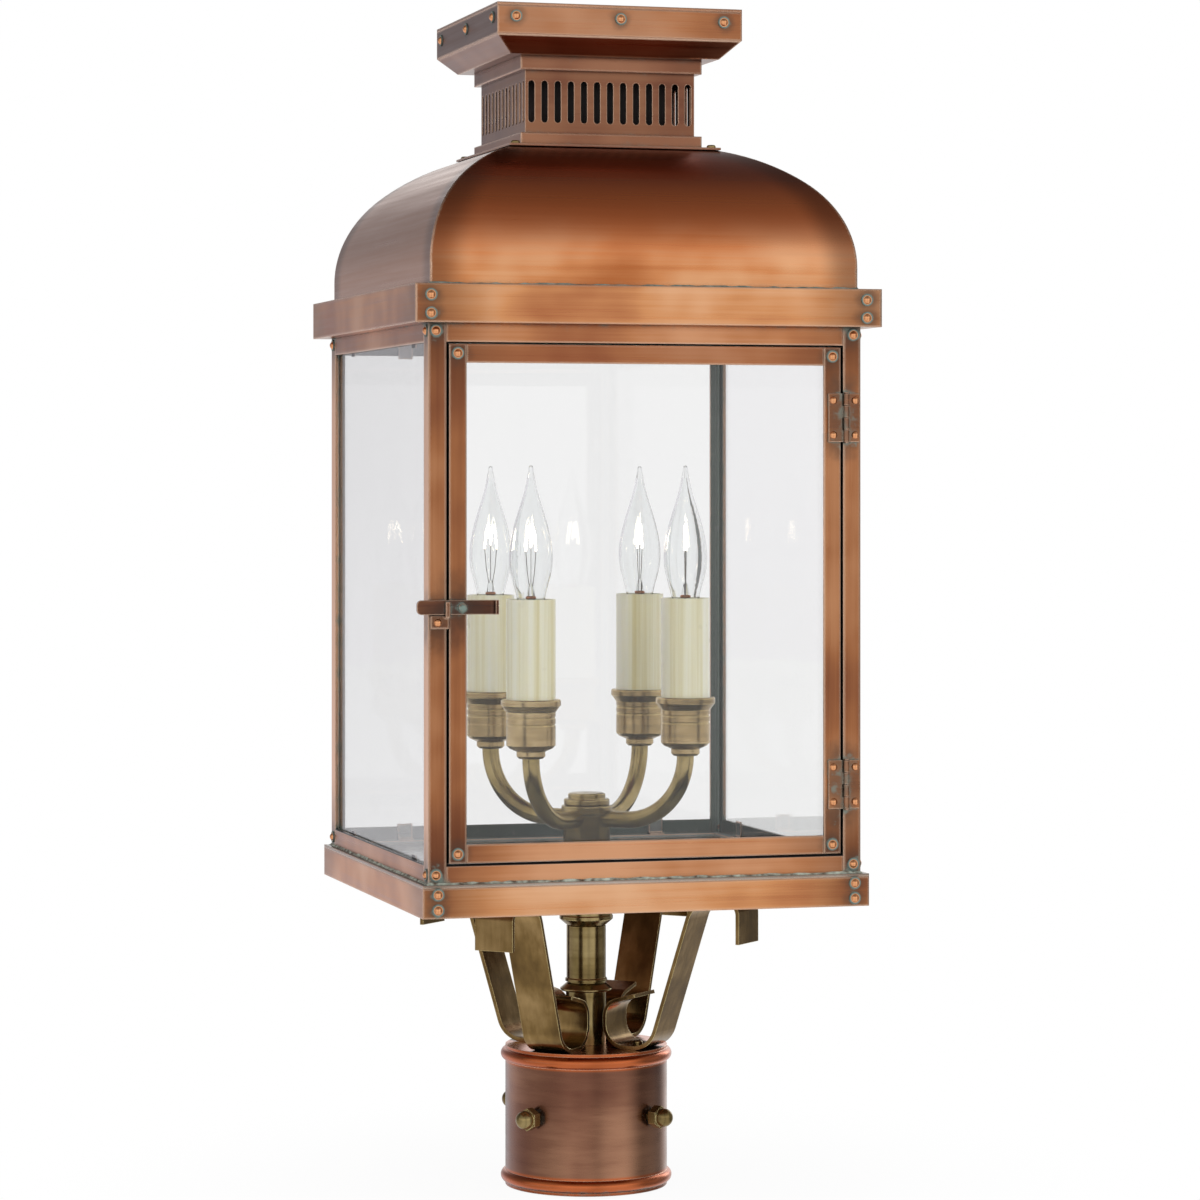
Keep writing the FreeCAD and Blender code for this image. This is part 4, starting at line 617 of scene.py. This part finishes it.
# The vent box is a dark brown and its collars darker still, as painted shade under the cap; their
# thin edges carry a painted highlight.
copper_vent = antique_copper("antique_copper_vent", ROUND_Z, DARK, CAP_POINTS, 0.001, 0.5,
                             highlight_reach=0.0007, stain_and_shade=0.0)
copper_collar = antique_copper("antique_copper_collars", ROUND_Z, COLLAR_SHADE, CAP_POINTS, 0.001, 0.5,
                               stain_and_shade=0.0)
# The fitter is spun, so its lines are broad and soft, and its two beads carry a red painted
# highlight.
copper_fitter = antique_copper("antique_copper_fitter", (20.0, 20.0, 160.0), FITTER, NOWHERE,
                               0.001, 0.6, gloss=0.2, highlight_reach=0.0006, stain_and_shade=0.0,
                               painted_light_bands=[(0.0098, 0.0082, 0.9, BEAD_HIGHLIGHT), (0.0635, 0.065, 0.9, BEAD_HIGHLIGHT)])
# Sheet that no hand reaches again: the tray, the roof's flange and the hinge pins.
copper_hidden = antique_copper("antique_copper_dull", ROUND_Z, DEEP, NOWHERE, 0.001, 1.6, stain_and_shade=0.0)
print("six finishes for roof, vent, fitter and hidden parts")

# %% [markdown]
# ## Brass
# The stem, the scrolled straps, the candle arms and their cups are cast and turned brass, toned to
# an old greenish gold and lacquered. Turning leaves fine rings, so the highlight on a cup is a
# soft upright stripe. Bent arms were tumbled instead, and have no lines that run one way.

# %% Antique brass
TUMBLED = (300.0, 300.0, 300.0)
DRAWN = (300.0, 300.0, 30.0)


def antique_brass(name, grain, tones, polish=0.17):
    """Brass with spots of brown tarnish and a painted highlight on its edges. polish is its least
    roughness.
    """
    material, tree, shader = new_material(name)
    lines = brush_lines(tree, grain)
    tone = add_node(tree, "Math", {0: lines, 1: 0.35, 2: cloud(tree, 38.0)},
                    operation="MULTIPLY_ADD")
    tone = add_node(tree, "MapRange", {"Value": tone, "From Min": 0.35, "From Max": 1.0}, **SMOOTH)
    metal = add_node(tree, "ValToRGB", {"Fac": tone},
                     stops=[(0.0, tones[0]), (0.5, tones[1]), (1.0, tones[2])])
    spots = add_node(tree, "MapRange", {"Value": cloud(tree, 130.0, 4.0), "From Min": 0.62,
                                        "From Max": 0.8, "To Max": 0.2}, **SMOOTH)
    edge, rounded = painted_edge_highlight(tree, 0.5 * MM)
    # Spots of brown tarnish, then a painted highlight along the edges.
    for share, colour in ((spots, "#40382A"), (edge, "#DCC994")):
        metal = add_node(tree, "Mix", {"Factor": share, 6: metal, 7: colour}, data_type="RGBA")
    satin = add_node(tree, "Math", {0: spots, 1: 0.5, 2: lines}, operation="MULTIPLY_ADD")
    satin = add_node(tree, "MapRange", {"Value": satin, "From Min": 0.3, "From Max": 1.0,
                                        "To Min": polish, "To Max": polish + 0.13})
    worked = add_node(tree, "Bump", {"Height": lines, "Distance": 0.01 * MM, "Strength": 0.4,
                                     "Normal": rounded})
    fill(tree, shader, {"Base Color": metal, "Metallic": 0.92, "Roughness": satin,
                        "Normal": worked})
    return material


brass_turned = antique_brass("antique_brass_turned", ROUND_Z, ("#645232", "#8C784C", "#B4A072"))
brass_cup = antique_brass("antique_brass_cups", ROUND_Z, ("#7C6846", "#AA9268", "#CFB98E"), 0.21)
brass_arm = antique_brass("antique_brass_arms", TUMBLED, ("#665433", "#94804F", "#BCA878"))
brass_strap = antique_brass("antique_brass_strap", DRAWN, ("#5E4829", "#866B40", "#AE9062"))
print("four brass finishes")

# %% [markdown]
# ## Rivets
# The rivets are plain copper. Each head is bright where the set struck it, and the washer under
# it keeps a grey-green bloom. Head and washer are one mesh, so the distance from the rivet's
# middle tells them apart: the head ends about two and a half millimetres out.

# %% Rivet heads and washers
RIVET_REACH, HEAD_START, HEAD_FULL = 5.0 * MM, 0.50, 0.57


def bright_rivets(name, joints, folded=True):
    """Struck copper heads on washers with a grey bloom."""
    material, tree, shader = new_material(name)
    near = nearness(tree, joints, RIVET_REACH, folded)
    head = add_node(tree, "MapRange", {"Value": near, "From Min": HEAD_START,
                                       "From Max": HEAD_FULL}, **SMOOTH)
    speck = cloud(tree, 900.0)
    metal = add_node(tree, "Mix", {"Factor": speck, 6: "#4E5B56", 7: "#93A198"}, data_type="RGBA")
    metal = add_node(tree, "Mix", {"Factor": head, 6: metal, 7: "#EDA877"}, data_type="RGBA")
    bare = add_node(tree, "MapRange", {"Value": head, "To Min": 0.35, "To Max": 1.0})
    gloss = add_node(tree, "MapRange", {"Value": head, "To Min": 0.55, "To Max": 0.24})
    struck = add_node(tree, "Bump", {"Height": speck, "Distance": 0.1 * MM, "Strength": 0.35})
    fill(tree, shader, {"Base Color": metal, "Metallic": bare, "Roughness": gloss,
                        "Normal": struck})
    return material


copper_rivets = bright_rivets("copper_rivets", RIVET_POINTS + CAP_POINTS + LEAF_POINTS)
copper_rivets_door = bright_rivets("copper_rivets_door", DOOR_POINTS + HINGE_POINTS, False)
print("rivet heads", 2 * RIVET_REACH * (1 - HEAD_FULL) / MM, "mm across")

# %% [markdown]
# ## Small parts
# What is left is small or hidden, but none of it is one flat colour: the near-black liner that
# paints the shade behind the slots is in patches, moulded phenolic shows flow marks, tin dulls
# unevenly. One recipe of two colours in patches on a slightly uneven surface does for all of them.
# The number after the colours is patches a metre.

# %% Slot shade, phenolic, rubber and tin
def mottled(name, dark, pale, per_metre, metallic, roughness, depth=0.15 * MM):
    """Two colours in soft patches, on a surface that is slightly uneven."""
    material, tree, shader = new_material(name)
    patch = cloud(tree, per_metre, 5.0)
    colour = add_node(tree, "ValToRGB", {"Fac": patch}, stops=[(0.34, dark), (0.66, pale)])
    gloss = add_node(tree, "MapRange", {"Value": patch, "From Min": 0.3, "From Max": 0.7,
                                        "To Min": roughness, "To Max": roughness + 0.18})
    uneven = add_node(tree, "Bump", {"Height": patch, "Distance": depth, "Strength": 0.5})
    fill(tree, shader, {"Base Color": colour, "Metallic": metallic, "Roughness": gloss,
                        "Normal": uneven})
    return material


# A near-black sheet behind the slots is painted shade, so the slots read dark. Black phenolic and
# rubber are satin, and the bulbs' tinned caps are pale and shiny.
slot_shade_liner = mottled("liner_painted_slot_shade", "#0E0806", "#1C120D", 90.0, 0.3, 0.5)
holder_body = mottled("phenolic_lampholder", "#191817", "#2A2826", 300.0, 0.0, 0.35)
lead_cover = mottled("lead_insulation", "#1B1B1D", "#2B2B2E", 400.0, 0.0, 0.45)
bulb_cap = mottled("tinned_brass_cap", "#A89B78", "#D0C49C", 500.0, 1.0, 0.25)
print("vent liner, lampholder, lead and bulb cap")

# %% [markdown]
# ## Candle sleeves
# The candle sleeves are ivory plastic tube, glossy enough to show the windows of the lantern as
# pale upright bands. Faint upright lines run through its colour, partly the marks of drawing it
# through a die and partly painted reflections. A little light goes into it and comes out again,
# which softens its shaded side.

# %% Ivory sleeves
SLEEVE_LINES = (190.0, 190.0, 2.0)


def ivory_sleeve():
    """Glossy ivory plastic with faint upright lines, part die marks and part painted reflections.
    """
    material, tree, shader = new_material("ivory_candle_sleeve")
    lines = brush_lines(tree, SLEEVE_LINES)
    colour = add_node(tree, "ValToRGB", {"Fac": lines},
                      stops=[(0.3, "#E2D69E"), (0.5, "#F8F3D6"), (0.7, "#FDFAEA")])
    gloss = add_node(tree, "MapRange", {"Value": cloud(tree, 60.0), "To Min": 0.2, "To Max": 0.42})
    drawn = add_node(tree, "Bump", {"Height": lines, "Distance": 0.25 * MM, "Strength": 0.5})
    fill(tree, shader, {"Base Color": colour, "Roughness": gloss, "Normal": drawn,
                        "Subsurface Weight": 0.15, "Coat Weight": 0.3, "Coat Roughness": 0.15,
                        "Subsurface Radius": (3.0 * MM, 2.5 * MM, 1.5 * MM)})
    return material


sleeve_ivory = ivory_sleeve()
print("ivory lines", round(1000 / SLEEVE_LINES[0], 1), "mm apart")

# %% [markdown]
# ## Glass
# Window glass and bulb glass are both clear soda-lime glass, drawn in sheets or blown. Light
# passes straight through them to whatever they shade, so shadow rays see a nearly transparent
# sheet. A little unevenness and the trace of a wiping cloth keep the reflections from being
# perfect, and the edge of a bulb looks grey, because there one looks along the glass.

# %% Clear glass
def clear_glass(name, tint, edge_tint, waves, wave_height):
    """Clear glass whose surface waves slightly, with faint wipe marks."""
    material, tree, shader = new_material(name)
    facing = add_node(tree, "LayerWeight", {"Blend": 0.35}).outputs["Facing"]
    rim = add_node(tree, "MapRange", {"Value": facing, "From Min": 0.45, "From Max": 1.0}, **SMOOTH)
    tinted = add_node(tree, "Mix", {"Factor": rim, 6: tint, 7: edge_tint}, data_type="RGBA")
    smear = add_node(tree, "MapRange", {"Value": cloud(tree, 28.0, 6.0), "From Min": 0.58,
                                        "From Max": 0.8, "To Max": 0.015}, **SMOOTH)
    waved = add_node(tree, "Bump", {"Height": cloud(tree, waves), "Distance": wave_height,
                                    "Strength": 0.4})
    fill(tree, shader, {"Base Color": tinted, "Roughness": smear, "Normal": waved,
                        "Transmission Weight": 1.0, "IOR": 1.45})
    shadow_ray = add_node(tree, "LightPath").outputs["Is Shadow Ray"]
    clear = add_node(tree, "BsdfTransparent", {"Color": (0.96, 0.97, 0.96, 1.0)})
    both = add_node(tree, "MixShader", {"Fac": shadow_ray, 1: shader, 2: clear})
    fill(tree, tree.nodes["Material Output"], {"Surface": both})
    return material


window_glass = clear_glass("clear_window_glass", "#F8F8F8", "#D2D8D5", 9.0, 0.3 * MM)
bulb_glass = clear_glass("clear_bulb_glass", "#FAFBFB", "#7D8585", 60.0, 0.1 * MM)
print("window and bulb glass ready")

# %% [markdown]
# ## Glowing wire
# The filament is tungsten wire, white-hot along its length, its heat varying a little in patches.
# It looks thicker than it is, because it glows. The lead wires are nickel, dulled by the heat, and
# a ring of bare copper sits round each glass mount.

# %% Filament and lead wires
def glowing_tungsten():
    """White-hot wire whose heat varies a little in patches along it."""
    material, tree, shader = new_material("glowing_tungsten")
    heat = add_node(tree, "ValToRGB", {"Fac": cloud(tree, 700.0)},
                    stops=[(0.3, "#FFE2B0"), (0.6, "#FFF4DC")])
    fill(tree, shader, {"Base Color": "#5A5A58", "Emission Color": heat,
                        "Emission Strength": 14.0})
    return material


filament_glow = glowing_tungsten()
wire_metal = mottled("nickel_lead_wire", "#4B4540", "#8B8076", 600.0, 1.0, 0.3)
wire_copper = mottled("copper_exhaust_ring", "#9A5A34", "#D08A5C", 400.0, 1.0, 0.3)
print("filament and wires")

# %% [markdown]
# ## Every part gets its finish
# The strips that run round the lantern are brushed level; the posts and the door's stiles are
# brushed upright. What the flux stained is decided by where a part lies, so neighbours share the
# same stain across their joint.

# %% Finishes for the frame's parts
FINISHES = [
    (copper_level, ["base_band", "cornice"]),
    (copper_fitter, ["post_fitter"]),
    (copper_rail, ["cage_top_rails", "cage_bottom_rails", "latch_keeper"]),
    (copper_upright, ["corner_post_" + corner for corner in corners]),
    (copper_roof, ["roof_panels"]),
    (copper_rim, ["cap_rim", "cap_lid"]),
    (copper_vent, ["vent_box"]),
    (copper_collar, ["vent_collars", "cap_pan"]),
    (copper_stile, ["door_stiles"]),
    (copper_door, ["door_rails"]),
    (copper_hinge, ["hinge_post_leaves", "hinge_door_leaves"]),
    (copper_latch, ["latch_bar", "latch_pivot"]),
    (copper_hidden, ["tray_bottom_plate", "roof_flange", "hinge_pins"]),
    (slot_shade_liner, ["vent_liner"]),
    (copper_floor, ["floor_plate", "glass_clips", "door_clips"]),
    (brass_cup, ["candle_cups"]),
    (brass_arm, ["candle_arms"]),
    (brass_turned, ["stem_tubes", "stem_collars", "hub_body", "hub_cap", "threaded_rod", "rod_nuts",
                    "machine_screws"] + ["post_screw_%d" % count for count in (1, 2, 3, 4)]),
    (brass_strap, ["scroll_straps"]),
    (copper_rivets, ["body_rivets"]),
    (copper_rivets_door, ["door_rivets"]),
    (sleeve_ivory, ["candle_sleeves"]),
    (holder_body, ["lampholders"]),
    (lead_cover, ["arm_leads"]),
    (bulb_cap, ["bulb_base_" + corner for corner in corners]),
    (window_glass, ["glass_back", "glass_left", "glass_right", "door_glass"]),
    (bulb_glass, ["bulb_glass_" + corner for corner in corners]),
]


def dress(part, material):
    """Gives a part of the frame one finish."""
    if not part.material_slots:
        part.data.materials.append(material)
    for slot in part.material_slots:
        slot.material = material


for material, names in FINISHES:
    for name in names:
        dress(nodes[name], material)
bare = sorted(set(nodes) - {name for material, names in FINISHES for name in names})
print("parts without a finish:", bare)

# %% [markdown]
# ## Inside the bulbs
# A clear candle bulb shows its works: two lead wires that leave its glass mount, a fine centre
# support, and a filament that hangs between them in a W. Wire is easiest as a curve with a round
# bevel. The copper ring is a small outline turned about the bulb's axis.

# %% Helpers for new pieces
def settle(piece, body):
    """Puts a new piece in the scene, riding on a body."""
    bpy.context.scene.collection.objects.link(piece)
    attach(piece, body)


def add_piece(name, shape, material, body):
    """Turns a bmesh into an object with one finish that rides on a body."""
    bmesh.ops.recalc_face_normals(shape, faces=shape.faces)
    mesh = bpy.data.meshes.new(name)
    shape.to_mesh(mesh)
    shape.free()
    mesh.materials.append(material)
    settle(bpy.data.objects.new(name, mesh), body)


def wires(name, paths, radius, material, body):
    """Thin round wires along paths of points."""
    curve = bpy.data.curves.new(name, "CURVE")
    curve.dimensions = "3D"
    curve.bevel_depth = radius
    curve.bevel_resolution = 3
    curve.use_fill_caps = True
    for path in paths:
        spline = curve.splines.new("POLY")
        spline.points.add(len(path) - 1)
        for point, place in zip(spline.points, path):
            point.co = (*place, 1.0)
        spline.use_smooth = True
    curve.materials.append(material)
    settle(bpy.data.objects.new(name, curve), body)


def spun(profile, centre, steps):
    """A bmesh turned about an upright axis from (radius, height) points in metres."""
    shape = bmesh.new()
    spots = [shape.verts.new((centre.x + radius, centre.y, height)) for radius, height in profile]
    edges = [shape.edges.new(pair) for pair in zip(spots, spots[1:])]
    bmesh.ops.spin(shape, geom=spots + edges, cent=(centre.x, centre.y, 0), axis=(0, 0, 1),
                   angle=math.tau, steps=steps, use_merge=True)
    bmesh.ops.remove_doubles(shape, verts=shape.verts, dist=1e-6)
    for face in shape.faces:
        face.smooth = True
    return shape


print("piece helpers ready")

# %% Filaments, leads and copper rings
FILAMENT = [(-3.6, 24.5), (-2.6, 34.0), (-1.6, 37.2), (-0.9, 33.0), (0.0, 26.5), (0.9, 33.0),
            (1.6, 37.2), (2.6, 34.0), (3.6, 24.5)]
LEAD = [(1.1, -3.0), (1.3, 7.5), (2.6, 14.0), (3.6, 25.0)]
SUPPORT = [(0.0, 8.0), (0.0, 26.5)]
RING = [(2.2, 0.0), (2.7, 0.3), (2.7, 1.3), (2.2, 1.6), (2.2, 0.0)]
FILAMENT_RADIUS, LEAD_RADIUS = 0.42 * MM, 0.19 * MM
BULB_TURNS = (0.5, 1.4, 0.9, 2.4)


def bulb_middle(corner):
    """The bulb's axis at the height where its glass starts."""
    low, high = low_of("bulb_glass_" + corner), high_of("bulb_glass_" + corner)
    return Vector(((low.x + high.x) / 2, (low.y + high.y) / 2, low.z))


def across(middle, turn, points):
    """Points of (outward, height above the sleeve) in millimetres, on a line through the bulb."""
    way = Vector((math.cos(turn), math.sin(turn), 0))
    return [middle + way * out * MM + Vector((0, 0, sleeve_head - middle.z + up * MM))
            for out, up in points]


def add_bulb_works(corner, turn):
    """Filament, two leads, centre support and the ring round the glass mount."""
    body = "bulb_" + corner
    middle = bulb_middle(corner)
    wires("filament_" + corner, [across(middle, turn, FILAMENT)], FILAMENT_RADIUS, filament_glow,
          body)
    leads = [across(middle, turn, [(side * out, up) for out, up in LEAD]) for side in (-1, 1)]
    leads.append(across(middle, turn, SUPPORT))
    wires("lead_wires_" + corner, leads, LEAD_RADIUS, wire_metal, body)
    ring = spun([(radius * MM, sleeve_head + up * MM) for radius, up in RING], middle, 32)
    add_piece("stem_ring_" + corner, ring, wire_copper, body)


for corner, turn in zip(corners, BULB_TURNS):
    add_bulb_works(corner, turn)
print("works in", len(BULB_TURNS), "bulbs")

# %% [markdown]
# ## Solder
# The roof is soft-soldered to the cornice and the cage to the base, and each fillet shows as a fine
# grey line with a green tinge. A fillet is a three-sided bead laid in the corner between two
# sheets, a little thicker here and thinner there, as a hand leaves it. We walk round the square
# and lay the bead's three corners at each step, at a size drawn by chance.

# %% Solder fillets
FILLET_STEPS = 60


def square_path(steps):
    """Points round a square of half width 1, with so many steps on each side."""
    turns = list(corners.values())
    return [(x0 + (x1 - x0) * step / steps, y0 + (y1 - y0) * step / steps)
            for (x0, y0), (x1, y1) in zip(turns, turns[1:] + turns[:1]) for step in range(steps)]


def fillet_loop(half, level, size, seed):
    """A hand-laid bead round a square, in the corner of an upright sheet and a level one."""
    draw = random.Random(seed)
    shape = bmesh.new()
    path = square_path(FILLET_STEPS)
    rows = [[], [], []]
    for x, y in path:
        out, up = size * draw.uniform(0.6, 1.1), size * draw.uniform(0.5, 1.1)
        for row, (far, high) in zip(rows, ((0.0, 0.0), (out, 0.0), (0.0, up))):
            row.append(shape.verts.new((x * (half + far), y * (half + far), level + high)))
    for first, second in zip(rows, rows[1:] + rows[:1]):
        for count in range(len(path)):
            after = (count + 1) % len(path)
            shape.faces.new((first[count], first[after], second[after], second[count]))
    return shape


# Tin-lead solder dulls to grey with a green tinge. At the base it is under a rough, pale green
# crust, because rain stands there.
solder = mottled("soft_solder_bloom", "#5F6F68", "#A9B5AC", 220.0, 0.5, 0.42, 0.4 * MM)
crusted = mottled("verdigris_on_solder", "#5A4838", "#C6CFC0", 260.0, 0.1, 0.5, 0.3 * MM)
add_piece("roof_solder", fillet_loop(dome_half, cornice_head, 1.2 * MM, 5), solder, "lantern_body")
add_piece("cage_solder", fillet_loop(cage_half, cage_foot, 1.2 * MM, 8), crusted, "lantern_body")
print("roof soldered to the cornice, cage to the base")

# %% [markdown]
# ## Painted shade above and below the door
# The door swings a millimetre clear of the rails above and below it. Strips of black felt, glued
# behind the rails, reach into those gaps as painted shade, so that they read dark and the door
# shuts without a rattle. Felt is matted wool: dull, and slightly uneven.

# %% Felt strips of painted shade
FELT_THICK, FELT_PROUD, RAIL_THICK = 1.2 * MM, 0.6 * MM, 2.0 * MM


def add_gap_shade_felt():
    """Thin dark upright strips, painted shade, behind the front bottom rail and behind the front
    top rail.
    """
    shape = bmesh.new()
    head = low_of("cage_top_rails").z
    for low, high in ((cage_foot + RAIL_THICK, cage_foot + RAIL_LEG + FELT_PROUD),
                      (head - FELT_PROUD, head + RAIL_LEG - RAIL_THICK)):
        size = Vector((2 * (cage_half - RAIL_LEG), FELT_THICK, high - low))
        middle = Vector((0.0, RAIL_THICK + FELT_THICK / 2 - cage_half, (low + high) / 2))
        bmesh.ops.create_cube(shape, size=1.0, matrix=Matrix.LocRotScale(middle, None, size))
    gap_shade_felt = mottled("black_felt_painted_gap_shade", "#0C0B0B", "#1C1A19", 900.0, 0.0, 0.78, 0.2 * MM)
    add_piece("door_gap_shade_felt", shape, gap_shade_felt, "lantern_body")


add_gap_shade_felt()
print("gap_shade_felt", round(FELT_PROUD / MM, 1), "mm proud of the rails")

# %% [markdown]
# ## Closing
# The finished picture must be no larger than the frame it dresses. The view transform stays
# plain, which makes colours render as they were written.

# %% The view transform
scene = bpy.context.scene
scene.view_settings.view_transform = "Standard"
bpy.context.view_layer.update()
